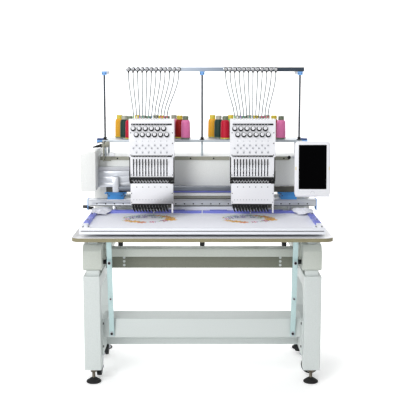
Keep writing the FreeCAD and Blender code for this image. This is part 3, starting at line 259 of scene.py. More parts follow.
# %% [markdown]
# Embroidery thread is trilobal polyester, which shines along the strand. A cone is cross wound: strands run
# round it in two slanting sets that make diamonds. The pattern uses the wound surface's own unrolled
# coordinates: turns round the cone and millimetres up it. Strands are 0.4 mm, drawn 2.4 mm wide to show.

# %% Thread finishes
def thread_finish(name, light, dark):
    """Cross-wound thread in one colour, with the soft upright bands where the two windings meet."""
    material, tree, shader = finish(name, light, 0.45, Sheen_Weight=0.08, Sheen_Roughness=0.4,
                                    Specular_IOR_Level=0.35)
    place = add(tree, "TexCoord")
    heights = []
    for lean in (1.0, -1.0):
        turn = add(tree, "Mapping", {"Scale": (18.0, 0.21, 1.0), "Rotation": (0, 0, 0.05 * lean)},
                   {"Vector": (place, "UV")})
        heights.append(add(tree, "TexWave", {"Scale": 1.0, "Distortion": 0.6}, {"Vector": (turn, "Vector")},
                           bands_direction="DIAGONAL" if lean > 0 else "Y"))
    both = add(tree, "Math", links={0: (heights[0], "Fac"), 1: (heights[1], "Fac")}, operation="MULTIPLY")
    tone = ramp_between(tree, both, "Value", dark, light, 0.05, 0.75)
    tree.links.new(tone.outputs["Color"], shader.inputs["Base Color"])
    bump = add(tree, "Bump", {"Strength": 0.5, "Distance": 0.0004}, {"Height": (both, "Value")})
    tree.links.new(bump.outputs["Normal"], shader.inputs["Normal"])
    return material


THREADS = {
    "yellow": ("FFC636", "EAA626"), "forest": ("174A3E", "0C3028"), "red": ("E00A38", "B0062A"),
    "lime": ("7CD048", "5AAE30"), "lavender": ("A588D6", "8766C0"), "teal": ("0FA088", "087A69"),
    "pine": ("174E3C", "0D3427"), "blue": ("1677AB", "0D5680"), "olive": ("4E4820", "332E12"),
    "black": ("1B1A1E", "0C0B0D"), "rose": ("F01E80", "C80C62"), "pink": ("FFA2D0", "F274B4"),
    "scarlet": ("C01212", "900808"), "orange": ("F58A18", "D46C0A"), "white": ("EFEFF2", "DADAE0"),
}
threads = {name: thread_finish("thread_" + name, *codes) for name, codes in THREADS.items()}
print("thread colours:", len(threads))

# %% [markdown]
# The cloth is bleached plain-weave cotton. Real threads lie 0.5 mm apart; two crossed waves draw them 3 mm
# apart so that the weave shows, with a soft sheen.

# %% Cotton finish
cotton, tree, shader = finish("bleached_cotton", "F3F4FA", 0.85, Sheen_Weight=0.3)
place = add(tree, "TexCoord")
weave = []
for direction in ("X", "Y"):
    weave.append(add(tree, "TexWave", {"Scale": 1000 / 3.0 / 6.28, "Distortion": 1.5},
                     {"Vector": (place, "Object")}, bands_direction=direction))
both = add(tree, "Math", links={0: (weave[0], "Fac"), 1: (weave[1], "Fac")}, operation="MULTIPLY")
tone = ramp_between(tree, both, "Value", "E6E8F2", "F6F7FC", 0.0, 0.8)
tree.links.new(tone.outputs["Color"], shader.inputs["Base Color"])
bump = add(tree, "Bump", {"Strength": 0.4, "Distance": 0.0003}, {"Height": (both, "Value")})
tree.links.new(bump.outputs["Normal"], shader.inputs["Normal"])

# %% [markdown]
# Every fitting is made of the same few moves: a loft skins a row of rings, and lathes, tubes, slabs and
# plates are lofts with particular rings. All work in millimetres. The loft also writes unrolled coordinates,
# turns by millimetres, which the thread finish reads.

# %% Helpers for shapes
FORWARD, RIGHT, UP = (0, -1, 0), (1, 0, 0), (0, 0, 1)


def basis(axis):
    """Two directions square to an axis."""
    axis = Vector(axis).normalized()
    side = Vector((0, 0, 1)) if abs(axis.z) < 0.9 else Vector((1, 0, 0))
    first = axis.cross(side).normalized()
    return first, axis.cross(first).normalized()


def around(centre, reach, a, reach_y=None):
    """The flat point at an angle on a circle, or on an oval, round a centre."""
    return centre[0] + reach * math.cos(a), centre[1] + (reach_y or reach) * math.sin(a)


def circle(centre, axis, radius, steps):
    """A ring of points round an axis."""
    first, second = basis(axis)
    turns = [math.tau * k / steps for k in range(steps)]
    return [Vector(centre) + radius * (math.cos(a) * first + math.sin(a) * second) for a in turns]


class Shape:
    """The faces of one piece, in millimetres."""

    def __init__(self):
        self.points, self.faces, self.slots, self.places = [], [], [], []

    def face(self, corners, slot, places=None):
        self.faces.append(corners)
        self.slots.append(slot)
        self.places.append(places or [(0.0, 0.0)] * len(corners))

    def loft(self, rings, slot=0, caps=True, closed=True):
        """Skin a row of rings that have the same number of points."""
        n, start, high = len(rings[0]), len(self.points), 0.0
        for ring in rings:
            self.points.extend(Vector(p) for p in ring)
        for i in range(len(rings) - 1):
            a, low = start + i * n, high
            high += (Vector(rings[i + 1][0]) - Vector(rings[i][0])).length
            for k in range(n if closed else n - 1):
                j, u, v = (k + 1) % n, k / n, (k + 1) / n
                self.face((a + k, a + j, a + n + j, a + n + k), slot,
                          [(u, low), (v, low), (v, high), (u, high)])
        if caps:
            self.face(tuple(range(start + n - 1, start - 1, -1)), slot)
            self.face(tuple(range(start + (len(rings) - 1) * n, start + len(rings) * n)), slot)
        return self

    def lathe(self, profile, base, axis=UP, slot=0, steps=24):
        """Turn (radius, height) points about an axis that starts at base."""
        axis = Vector(axis).normalized()
        rings = [circle(Vector(base) + axis * h, axis, max(r, 0.02), steps) for r, h in profile]
        return self.loft(rings, slot)

    def pin(self, radius, height, base, axis=UP, slot=0, steps=24):
        """A plain round disc or rod."""
        return self.lathe([(0, 0), (radius, 0), (radius, height), (0, height)], base, axis, slot, steps)

    def ring(self, profile, base, axis=UP, slot=0, steps=24):
        """Turn a closed profile about an axis: a ring with an open middle."""
        axis = Vector(axis).normalized()
        return self.loft([circle(Vector(base) + axis * h, axis, r, steps) for r, h in profile], slot,
                         caps=False)

    def grid(self, columns, rows, point):
        """A sheet of four-sided faces through point(u, v), where u and v run from 0 to 1."""
        for j in range(rows + 1):
            self.points += [Vector(point(i / columns, j / rows)) for i in range(columns + 1)]
        for j in range(rows):
            for i in range(columns):
                a = j * (columns + 1) + i
                self.face((a, a + 1, a + columns + 2, a + columns + 1), 0)

    def tube(self, path, radius, slot=0, steps=10, caps=True):
        """A round bar along a path; radius may be a list, one for each point."""
        path = [Vector(p) for p in path]
        sizes = radius if isinstance(radius, (list, tuple)) else [radius] * len(path)
        first, second = basis(path[1] - path[0])
        rings = []
        for i, point in enumerate(path):
            ahead = path[min(i + 1, len(path) - 1)] - path[max(i - 1, 0)]
            ahead.normalize()
            first = (first - ahead * first.dot(ahead)).normalized()
            second = ahead.cross(first)
            turns = [math.tau * k / steps for k in range(steps)]
            rings.append([point + sizes[i] * (math.cos(a) * first + math.sin(a) * second) for a in turns])
        return self.loft(rings, slot, caps)

    def slab(self, low, high, edge=0.8, slot=0):
        """A block with every edge broken by a small chamfer."""
        (x0, y0, z0), (x1, y1, z1) = low, high
        edge = min(edge, (x1 - x0) / 2.5, (y1 - y0) / 2.5, (z1 - z0) / 2.5)

        def ring(z, inset):
            a, b, c, d, e = x0 + inset, x1 - inset, y0 + inset, y1 - inset, edge
            return [(a + e, c, z), (b - e, c, z), (b, c + e, z), (b, d - e, z),
                    (b - e, d, z), (a + e, d, z), (a, d - e, z), (a, c + e, z)]

        return self.loft([ring(z0, edge), ring(z0 + edge, 0), ring(z1 - edge, 0), ring(z1, edge)], slot)

    def plate(self, outline, origin, right, up, thick, edge=0.6, slot=0):
        """An outline in the plane of right and up, thickened towards right x up, with broken edges."""
        right, up = Vector(right), Vector(up)
        away = right.cross(up).normalized()
        middle = sum((Vector(p) for p in outline), Vector((0, 0))) / len(outline)
        reach = max((Vector(p) - middle).length for p in outline)

        def ring(depth, inset):
            k = 1 - inset / reach
            flat = [middle + (Vector(p) - middle) * k for p in outline]
            return [Vector(origin) + right * p.x + up * p.y + away * depth for p in flat]

        edge = min(edge, thick / 2.5)
        return self.loft([ring(0, edge), ring(edge, 0), ring(thick - edge, 0), ring(thick, edge)], slot)

    def screw(self, at, axis, radius=3.0, slot=0, tall=1.6):
        """A round-headed socket screw: domed rim, flat floor in the middle."""
        r, t = radius, tall
        profile = [(r, 0), (r, t * 0.5), (r * 0.86, t), (r * 0.5, t), (r * 0.45, t * 0.45), (0, t * 0.45)]
        return self.lathe(profile, at, axis, slot, 14)


def rounded(width, height, radius, steps=5):
    """A rectangle with round corners, centred on the origin."""
    outline = []
    for sx, sy, start in ((1, -1, -90), (1, 1, 0), (-1, 1, 90), (-1, -1, 180)):
        for k in range(steps + 1):
            a = math.radians(start + 90 * k / steps)
            x = sx * (width / 2 - radius) + radius * math.cos(a)
            outline.append((x, sy * (height / 2 - radius) + radius * math.sin(a)))
    return outline


def helix(start, end, radius, turns, steps=12):
    """Points of a coil round the line from start to end."""
    start, end = Vector(start), Vector(end)
    first, second = basis(end - start)
    count = int(turns * steps)
    points = []
    for k in range(count + 1):
        a = math.tau * k / steps
        points.append(start.lerp(end, k / count) + radius * (math.cos(a) * first + math.sin(a) * second))
    return points


# %% [markdown]
# A shape becomes a piece when it is scaled to metres, smoothed except at its sharp edges, given its finishes
# and set to ride on a body. Parts whose own form is right are carried over: their mesh is cleaned into flat
# faces and their edges are rounded by a small bevel, as a real casting or folded sheet has, so that they
# catch light.

# %% Helpers for pieces
record = frame["record"]
body_of = {node: body for body, nodes in record["behaviour"]["bodies"].items() for node in nodes}
made = []


def dress(mesh, name, finishes, body, nodes, sharp=32):
    """Turn a mesh into a finished piece that rides on a body and stands for some nodes."""
    for material in finishes:
        mesh.materials.append(material)
    mesh.polygons.foreach_set("use_smooth", [True] * len(mesh.polygons))
    mesh.set_sharp_from_angle(angle=math.radians(sharp))
    piece = bpy.data.objects.new(name, mesh)
    bpy.context.collection.objects.link(piece)
    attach(piece, body)
    if nodes:
        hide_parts(*nodes)
    made.append(name)
    return piece


def piece(name, shape, finishes, node, stands=False, slot=None, sharp=32, outward=True):
    """Make a piece from a shape. It rides with the node, and stands for it where stands is true."""
    mesh = bpy.data.meshes.new(name)
    mesh.from_pydata([p * 0.001 for p in shape.points], [], shape.faces)
    mesh.polygons.foreach_set("material_index", shape.slots)
    layer = mesh.uv_layers.new(name="unrolled")
    flat = [value for places in shape.places for pair in places for value in pair]
    layer.data.foreach_set("uv", flat)
    if outward:
        work = bmesh.new()
        work.from_mesh(mesh)
        bmesh.ops.recalc_face_normals(work, faces=work.faces)
        work.to_mesh(mesh)
        work.free()
    return dress(mesh, name, finishes, body_of[node], [node] if stands else [], sharp)


def carry(node, finishes, choose=None, edge=1.0):
    """Stand a softened copy in for a node; choose(middle, normal) picks each face's finish."""
    work = bmesh.new()
    work.from_mesh(frame["nodes"][node].data)
    bmesh.ops.remove_doubles(work, verts=work.verts, dist=1e-6)
    bmesh.ops.dissolve_limit(work, angle_limit=math.radians(0.6), verts=work.verts, edges=work.edges)
    if edge:
        corners = [e for e in work.edges if e.is_manifold and e.calc_face_angle(0) > math.radians(35)]
        bmesh.ops.bevel(work, geom=corners, offset=edge / 1000, segments=2, profile=0.6, affect="EDGES",
                        clamp_overlap=True)
    bmesh.ops.triangulate(work, faces=[f for f in work.faces if len(f.verts) > 4])
    if choose:
        for f in work.faces:
            f.material_index = choose(f.calc_center_median() * 1000, f.normal)
    mesh = bpy.data.meshes.new(node)
    work.to_mesh(mesh)
    work.free()
    return dress(mesh, "soft_" + node, finishes, body_of[node], [node])


def box_mm(node):
    """A node's lowest and highest corners in millimetres."""
    low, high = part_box(node)
    return low * 1000, high * 1000


print("helpers ready")

# %% [markdown]
# The stand is welded from box section and powder coated. Its parts already have their true form, so they are
# carried over with softened edges; bolts and their washers are added.

# %% Stand frames and beams
STRUT_X, STRUT_FOOT, STRUT_TOP = 439, (-315, 215), (-405, 705)
STAND = [("stand_frame_left", powder), ("stand_frame_right", powder), ("stand_lower_beam", powder),
         ("bed_side_rails", rail_paint)]
for node, coat in STAND:
    carry(node, [coat], edge=2.0)
# The recessed front panel under the cross beam's lip takes the painted shade coat, darker for the shade under
# the table.
carry("bed_cross_beam", [rail_paint, painted_shade_coat], edge=1.0,
      choose=lambda p, n: 1 if p.z < 600.5 and p.y > -200 and n.y < -0.5 and abs(p.x) < 470 else 0)
carry("table_struts", [teal_enamel, ground],
      choose=lambda p, n: 1 if p.y < -314 and p.z < 250 and n.y < -0.5 and abs(abs(p.x) - STRUT_X) < 5 else 0,
      edge=0.8)

fittings = Shape()
for side in (-1, 1):
    for z in (172.0, 286.0):
        fittings.screw((side * 479, -338, z), (-side, 0, 0), 6.0, 0, 4.0)
for side in (-1, 1):
    for share, radius, slot in ((0.03, 7.0, 0), (0.4, 4.0, 0), (0.775, 7.0, 0)):
        y, z = (low + share * (high - low) for low, high in zip(STRUT_FOOT, STRUT_TOP))
        depth = 13.0 if share > 0.7 else 6.5
        fittings.lathe([(0, 0), (radius + 2, 0), (radius + 2, 1.2), (0, 1.3)],
                       (side * STRUT_X, y - depth + 3, z),
                       FORWARD, 1, 20)
        fittings.lathe([(0, 1.2), (radius, 1.2), (radius, 4.2), (radius - 1, 5), (0, 5)],
                       (side * STRUT_X, y - depth + 3, z), FORWARD, slot, 6)
piece("stand_bolts", fittings, [oxide, ground], "stand_lower_beam")
print("stand carried over")

# %% [markdown]
# The levelling feet are moulded rubber domes on plated threaded rods. Threads are real ridges here, because
# the rods are seen bare between the foot and the column.

# %% Levelling feet
CORNERS = ("front_left", "front_right", "rear_left", "rear_right")
for corner in CORNERS:
    node = "levelling_foot_" + corner
    low, high = box_mm(node)
    x, y = (low.x + high.x) / 2, (low.y + high.y) / 2
    foot = Shape()
    foot.lathe([(0, 0), (33, 0), (35.6, 2), (36, 5), (35, 8), (30, 12), (22, 17), (17, 21), (12, 23.6),
                (0, 24)],
               (x, y, 0), steps=40)
    ridge = [(7.0 + 0.9 * (k % 2), 24 + 1.5 * k) for k in range(30)]
    foot.lathe([(0, 24)] + ridge + [(7.8, 69), (7.8, 150), (0, 150)], (x, y, 0), slot=1, steps=20)
    foot.lathe([(0, 55.7), (10.4, 55.7), (12, 57), (12, 66.4), (10.4, 67.7), (0, 67.7)], (x, y, 0), slot=1,
               steps=6)
    foot.lathe([(11, 53.4), (16, 53.6), (16, 55.5), (11, 55.6)], (x, y, 0), slot=1, steps=24)
    piece(node + "_dressed", foot, [rubber, zinc], node, stands=True)

# %% [markdown]
# Each caster is a pressed steel fork with a ball race on top, a black brake pedal, and a wheel with a slate
# nylon hub and a dark tread. The wheels are turned: a crowned tread, a raised rim, a dished web and an axle
# cap.

# %% Casters
for corner in CORNERS:
    node = "caster_fork_" + corner
    low, high = box_mm(node)
    swivel = next(j for j in frame["joints"] if j["name"] == "swivel_" + corner)["pos_m"]
    roll = next(j for j in frame["joints"] if j["name"] == f"wheel_{corner}_roll")
    sx, sy = swivel[0] * 1000, swivel[1] * 1000
    wx, wy, wz = (v * 1000 for v in roll["pos_m"])
    axle = Vector(roll["axis"]).normalized()
    trail = Vector((wx - sx, wy - sy, 0)).normalized()

    def pedal_or_fork(p, n, s=Vector((sx, sy, 0)), t=trail):
        return 1 if (Vector((p.x, p.y, 0)) - s).dot(t) > 29.5 and p.z > 84 else 0

    carry(node, [ground, black_abs], choose=pedal_or_fork, edge=0.8)
    race = Shape()
    race.lathe([(20, 103.5), (24.5, 103.8), (25, 106), (24.5, 108.6), (22.2, 109)], (sx, sy, 0), slot=0,
               steps=32)
    for way in (-1, 1):
        centre = Vector((wx, wy, wz)) + axle * way * 17.3
        race.lathe([(0, 0), (7.5, 0), (7.5, 1.6), (6.5, 3), (0, 3)], centre, axle * way, slot=0, steps=6)
    piece("race_" + corner, race, [ground], node)
    wheel = Shape()
    base = Vector((wx, wy, wz)) - axle * 12
    wheel.lathe([(33, 1.5), (39, 0.6), (42, 1.5), (43.6, 4), (44, 8), (44, 16), (43.6, 20), (42, 22.5),
                 (39, 23.4),
                 (33, 22.5)], base, axle, 0, 48)
    hub = [(4.1, 0), (10, 0), (11, 1), (11, 4), (16, 6), (28, 5), (30, 2), (33.4, 1.2), (33.4, 22.8),
           (30, 22),
           (28, 19), (16, 18), (11, 20), (11, 23), (10, 24), (4.1, 24), (4.1, 0)]
    wheel.ring(hub, base, axle, 1, 40)
    wheel_node = "caster_wheel_" + corner
    piece(wheel_node + "_dressed", wheel, [tyre_rubber, hub_nylon], wheel_node, stands=True)
print("feet and casters made")

# %% [markdown]
# Table: the board is carried over, and its outer 2 mm, which is the edge strip, takes the olive PVC. Rubber
# bumpers, spacers and side knobs keep their forms; the side knobs get knurls.

# %% Table and bumpers
table_low, table_high = box_mm("table_top")
half_table = table_high.x


def board_or_strip(p, n):
    """The strip is the thin skin round the board's front and sides."""
    upright = abs(n.z) < 0.5
    return 1 if upright and (p.y < 200 or abs(p.x) > half_table - 3) and (
        abs(p.x) > half_table - 60 or p.y < table_low.y + 4) and abs(p.x) > 300 or (
        upright and p.y < table_low.y + 4) else 0


carry("table_top", [laminate, edge_strip], choose=board_or_strip, edge=0.8)
carry("rubber_bumpers", [rubber, powder], edge=1.0, choose=lambda p, n: 1 if abs(p.x) > 489 else 0)
knurls = Shape()
for side in (-1, 1):
    for k in range(16):
        y, z = around((-315, 585), 11, math.tau * k / 16)
        knurls.tube([(side * 453.5, y, z), (side * 463, y, z)], 1.2, 0, 6)
    for z in (543, 562, 581):
        knurls.lathe([(4, -0.2), (6.5, 0), (6.5, 0.8), (4, 0.8)], (side * 385, -199, z), FORWARD, 2, 16)
piece("side_knob_trim", knurls, [rubber, teal_enamel, powder], "rubber_bumpers")

# %% [markdown]
# The bridge carries everything above the table. Its beam, covers and end boxes are carried over; what makes
# them read as a machine is the trim: a lapped top flange, socket screws, vents and the extruded slide rail's
# grooves.

# %% Bridge
carry("bridge_beam", [enamel], edge=0)
for node, coat in (("rear_housing", enamel), ("bridge_front_cover", enamel),
                   ("colour_change_box", enamel), ("right_end_box", enamel), ("head_arms", enamel),
                   ("cylinder_arms", enamel), ("main_motor", motor_paint)):
    carry(node, [coat], edge=1.6)
rail_high = box_mm("slide_rail_profile")[1]
carry("slide_rail_profile", [anodised, grey_abs], edge=0.8,
      choose=lambda p, n: 1 if p.z > rail_high.z - 22 and n.y < -0.5 else 0)

bridge_low, bridge_high = box_mm("bridge_front_cover")
top, bottom, face = bridge_high.z, bridge_low.z, bridge_low.y
trim = Shape()
for x0, x1 in ((-530, -308), (-192, 192), (308, 454)):
    # The lapped top flange is warm grey: painted shade for the top of the bridge, which lies in shade.
    trim.slab((x0, face - 2.0, top - 20), (x1, face, top - 1), 0.8, 1)
    trim.slab((x0, face - 3.2, top - 23), (x1, face, top - 20.2), 0.6, 0)
    trim.slab((x0, face - 3.0, bottom + 1), (x1, face, bottom + 5), 0.6, 2)
for x in (-440, -150, -60, 60, 150, 352, 425):
    trim.screw((x, face - 2.0, top - 11), FORWARD, 4.2, 3, 2.4)
for x in (-185, 185):
    trim.screw((x, face, (top + bottom) / 2), FORWARD, 3.2, 3, 2.0)
for side in (-1, 1):
    for k in range(9):
        trim.slab((side * 575 - 22, 479.2, 960 + 11 * k), (side * 575 + 22, 480, 964 + 11 * k), 0.3, 3)
piece("bridge_trim", trim, [enamel, grey_enamel_and_painted_shade, grey_abs, oxide], "bridge_beam")

# %% [markdown]
# Under the bridge the link tube, its rail and a violet cable guard show as long horizontal lines between
# heads. The dark grey slabs, one behind the lines and two more outside the heads, are painted shadow in the
# recess under the bridge. The warm grey band below the white strip is painted shade for the cross beam's top.

# %% Lines under the bridge
lines = Shape()
HALF_GAP = 190
for y0, z0, y1, z1, slot in ((70, 868, 100, 876, 1), (66, 852, 100, 867, 0), (100, 830, 104, 898, 3),
                             (90, 836, 100, 850, 2)):
    lines.slab((-HALF_GAP, y0, z0), (HALF_GAP, y1, z1), 0.8, slot)
for x0, x1 in ((-500, -310), (310, 500)):
    lines.slab((x0, 96, 868), (x1, 104, 898), 0.8, 3)
for side in (-1, 1):
    lines.slab((side * 516 - 16, 92, 866), (side * 516 + 16, 108, 898), 1.0, 0)
piece("cable_guard_and_painted_shade", lines, [enamel, violet_pvc, grey_enamel_and_painted_shade, painted_recess_shade], "bridge_beam")

# %% [markdown]
# The main shaft is ground bar. Its pale blue hand disc stands outside the left end box; grip notches round
# the rim let the operator turn it.

# %% Main shaft and hand disc
shaft_low = box_mm("main_shaft")[0]
carry("main_shaft", [ground, pale_blue_abs], edge=0.6, choose=lambda p, n: 1 if p.x < -621.5 else 0)
disc = Shape()
SHAFT_Y, SHAFT_Z, GRIP_REACH, GRIPS = 150, 935, 48.6, 24
for k in range(GRIPS):
    y, z = around((SHAFT_Y, SHAFT_Z), GRIP_REACH, math.tau * k / GRIPS)
    at = Vector((shaft_low.x + 3, y, z))
    disc.tube([at, at + Vector((6, 0, 0))], 1.3, 0, 6)
disc.lathe([(14, 0.2), (13, 0.2), (12, 0.0), (0, 0.0)], (shaft_low.x + 0.2, SHAFT_Y, SHAFT_Z), RIGHT, 1, 24)
piece("hand_disc_grip", disc, [pale_blue_abs, oxide], "main_shaft")

motor_low, motor_high = box_mm("main_motor")
fins = Shape()
for k in range(8):
    x = motor_low.x + 14 + 11 * k
    fins.slab((x, motor_low.y + 4, motor_high.z - 0.4), (x + 4, motor_high.y - 4, motor_high.z + 2), 0.5)
piece("motor_fins", fins, [motor_paint], "main_motor")

# %% [markdown]
# Hooks and needle plates: bright steel. The plates get their countersunk screws and a thin steel rim round
# the needle hole; the hooks get the slot and the bobbin case's latch.

# %% Needle plates and hooks
HEADS = (-250.0, 250.0)
PITCH = 15.0
NEEDLE_Y = -75.0
PLATE_TOP = 741


def needle_xs(centre):
    """The twelve needles' places across a head; the seventh sews."""
    return [centre + (k - 7) * PITCH for k in range(1, 13)]


carry("needle_plates", [ground], edge=0.6)
plates = Shape()
for x in HEADS:
    plates.ring([(1.5, 0.02), (5.5, 0.02), (5.5, 0.25), (1.5, 0.25), (1.5, 0.02)], (x, NEEDLE_Y, PLATE_TOP))
    for dx in (-34, 34):
        for y in (-120, -42):
            plates.screw((x + dx, y, PLATE_TOP), UP, 3.4, 1, 0.7)
piece("needle_plate_screws", plates, [ground, oxide], "needle_plates")
for side, x in zip(("left", "right"), HEADS):
    node = "rotary_hook_" + side
    carry(node, [chrome], edge=0.5)
    latch = Shape()
    latch.slab((x - 10, -72.3, 698), (x + 10, -71.4, 702), 0.3, 1)
    for k in range(10):
        hole_x, hole_z = around((x, 700), 13, math.tau * k / 10)
        latch.pin(1.6, 0.6, (hole_x, -71.5, hole_z), FORWARD, 0, 8)
    piece(f"bobbin_latch_{side}", latch, [chrome, oxide], node)
print("bridge, shaft and hooks made")

# %% [markdown]
# The two needle cases are the face of the machine. Both slide together, so all their trim rides on one body.
# The cases and panels are carried over; the fittings on them are built in rows at the needles' pitch.

# %% Needle cases and panels


def case_finish(p, n):
    """Cast case in enamel, dark behind the open panels; slider, link tube and pivot rod in steel."""
    if p.x < -425 and p.z < 955:
        return 2
    if (p.y > 28 and p.z < 908) or (p.y < -88 and 1016 < p.z < 1024):
        return 1
    return 3 if n.y < -0.5 and p.y < -60 else 0


carry("needle_cases", [enamel, dark_steel, anodised, oxide], choose=case_finish, edge=1.0)
case_low, case_high = box_mm("tension_panels")
FACE, TOP, SEAM = case_low.y, case_high.z, case_low.z
take_low = box_mm("take_up_panels")[0]
cover_low = box_mm("lower_covers")[0]
carry("tension_panels", [white_abs], edge=2.0)
carry("take_up_panels", [white_abs], edge=0.7)
carry("lower_covers", [white_abs, oxide], edge=0.7,
      choose=lambda p, n: 1 if p.z < cover_low.z + 56.5 and abs(p.y + 119) < 3.4 and p.z > 831 else 0)

# %% [markdown]
# Tension knobs: each thread passes between two pressed discs held by a spring under a knurled cap. The dark
# discs show as a crescent below the white cap, because the cap is set a little high to leave room for the
# thread.

# %% Tension knobs
knobs = Shape()
for x in HEADS:
    for number, place in enumerate(needle_xs(x)):
        z = TOP - (46.0 if number % 2 == 0 else 76.0)
        at = (place, FACE, z)
        knobs.lathe([(0, 0), (12.2, 0), (12.5, 1.2), (11, 2.6), (9, 3.0), (11, 3.6), (12.5, 5), (12.2, 6.2),
                     (0, 6.4)],
                    at, FORWARD, 1, 28)
        knobs.tube(helix((place, FACE - 6.4, z + 1), (place, FACE - 11.5, z + 1), 5.4, 3, 10), 0.7, 2, 6)
        cap = [(0, 11.4), (7.4, 11.4), (8.2, 12.2), (8.2, 18.6), (7.4, 19.6), (3, 19.9), (0, 19.9)]
        knobs.lathe(cap, (place, FACE, z + 4.0), FORWARD, 0, 24)
        knobs.lathe([(0, 19.8), (1.6, 19.8), (1.6, 20), (0, 20)], (place, FACE, z + 5.4), FORWARD, 1, 10)
    for z in (TOP - 28, SEAM + 2):
        knobs.slab((x - 100, FACE - 3, z - 0.3), (x + 100, FACE, z + 7.3), 0.6, 1)
        for place in needle_xs(x):
            knobs.lathe([(1.0, 2.4), (1.9, 2.6), (2.1, 4.2), (1.5, 5.6), (1.0, 5.2)],
                        (place + 3, FACE, z + 5.0),
                        FORWARD, 2, 12)
            knobs.slab((place - 4.4, FACE - 4.6, z + 0.4), (place - 2.6, FACE - 2.5, z + 6.6), 0.3, 0)
    low_z, high_z = 957.4, take_low.z - 0.4
    knobs.slab((x - 104, FACE - 5.6, low_z), (x + 104, -105, high_z), 0.8, 1)
piece("tension_fittings", knobs, [white_abs, oxide, chrome], "tension_knobs", stands=True)

# %% [markdown]
# Below the knobs the panel carries thread sensors: small eyelets, then two rows of grooved rollers and a row
# of check springs. They are pale on a pale panel, so only their rims and shadows draw them.

# %% Thread sensors and screws on the panels
eyes = Shape()
for x in HEADS:
    xs = needle_xs(x)
    for place in xs[1::2]:
        eyes.lathe([(1.2, 0), (2.4, 0), (2.4, 0.9), (1.2, 1.1)], (place, FACE, TOP - 107), FORWARD, 1, 12)
    for number, place in enumerate(xs):
        z = TOP - 128 if number % 2 else TOP - 142
        eyes.lathe([(0, 0), (4.6, 0), (4.9, 1), (3.2, 2.2), (4.9, 3.4), (4.6, 4.4), (0, 4.6)],
                   (place, FACE, z),
                   FORWARD, 0, 16)
        eyes.lathe([(0, 4.4), (1.5, 4.4), (1.5, 5.2), (0, 5.2)], (place, FACE, z), FORWARD, 2, 8)
        if number % 2:
            eyes.lathe([(2.4, 0), (4.4, 0), (4.4, 1.4), (2.4, 1.6)], (place, FACE, TOP - 164), FORWARD, 1, 16)
            spring = [(place - 4, FACE - 1.2, TOP - 158), (place + 1, FACE - 2.4, TOP - 154),
                      (place + 5, FACE - 1.2, TOP - 160)]
            eyes.tube(spring, 0.5, 1, 6)
    for dx in (-103, 103):
        for z in (TOP - 66, TOP - 176, 981):
            eyes.screw((x + dx, FACE if z > SEAM else take_low.y, z), FORWARD, 2.6, 2, 1.6)
    eyes.screw((x + 103, FACE, TOP - 118), FORWARD, 2.8, 2, 1.8)
piece("thread_sensors", eyes, [grey_abs, ground, oxide], "tension_panels")

# %% [markdown]
# Take-up levers: pressed steel arms that swing in the panel's slots. Behind each slot hangs a dark guide, so
# the slot reads as a black hook at the top and a thin rod below, as it does on the real machine.

# %% Take-up levers
def lever(shape, x, slot=0):
    """One lever: hub, tapering arm, hooked eye with its hole."""
    hub, tip = Vector((x, NEEDLE_Y - 17, 1020)), Vector((x, NEEDLE_Y - 57, 1048))
    along = (tip - hub).normalized()
    across = Vector((0, -along.z, along.y))
    shape.lathe([(3.06, -1), (6, -1), (6, 1), (3.06, 1), (3.06, -1)], hub, RIGHT, slot, 20)
    rings = []
    for t, half in ((0.13, 3.0), (0.5, 2.6), (0.86, 2.2), (0.97, 3.2), (1.06, 1.6)):
        p = hub + (tip - hub) * t
        rings.append([p + across * half * up + Vector((out, 0, 0))
                      for up, out in ((1, -1), (1, 1), (-1, 1), (-1, -1))])
    shape.loft(rings, slot)


parked = Shape()
guides = Shape()
for x in HEADS:
    for number, place in enumerate(needle_xs(x)):
        if number != 6:
            lever(parked, place)
        guides.slab((place - 2.6, -104.8, 1036), (place + 2.6, -99.5, 1059), 0.8, 0)
        guides.tube([(place + 0.6, -104.2, 1040), (place + 0.6, -104.2, 978)], 0.8, 1, 6)
        guides.pin(2.2, 5, (place, -104, 978), FORWARD, 0, 10)
        guides.lathe([(2.6, 0), (3.6, 0), (3.6, 0.6), (2.6, 0.6)], (place, take_low.y, 1034), FORWARD, 0, 12)
piece("parked_levers", parked, [oxide], "parked_take_up_levers", stands=True)
piece("slot_guides", guides, [oxide, ground], "parked_take_up_levers")
for side, x in zip(("left", "right"), HEADS):
    active = Shape()
    lever(active, x)
    node = "take_up_lever_" + side
    piece("active_lever_" + side, active, [oxide], node, stands=True)
print("panels, knobs and levers made")

# %% [markdown]
# Between the guard bar and the lower cover sits a row of thread clips bent from white wire, one for each
# needle: a zigzag of slanting loops against the dark of the case.

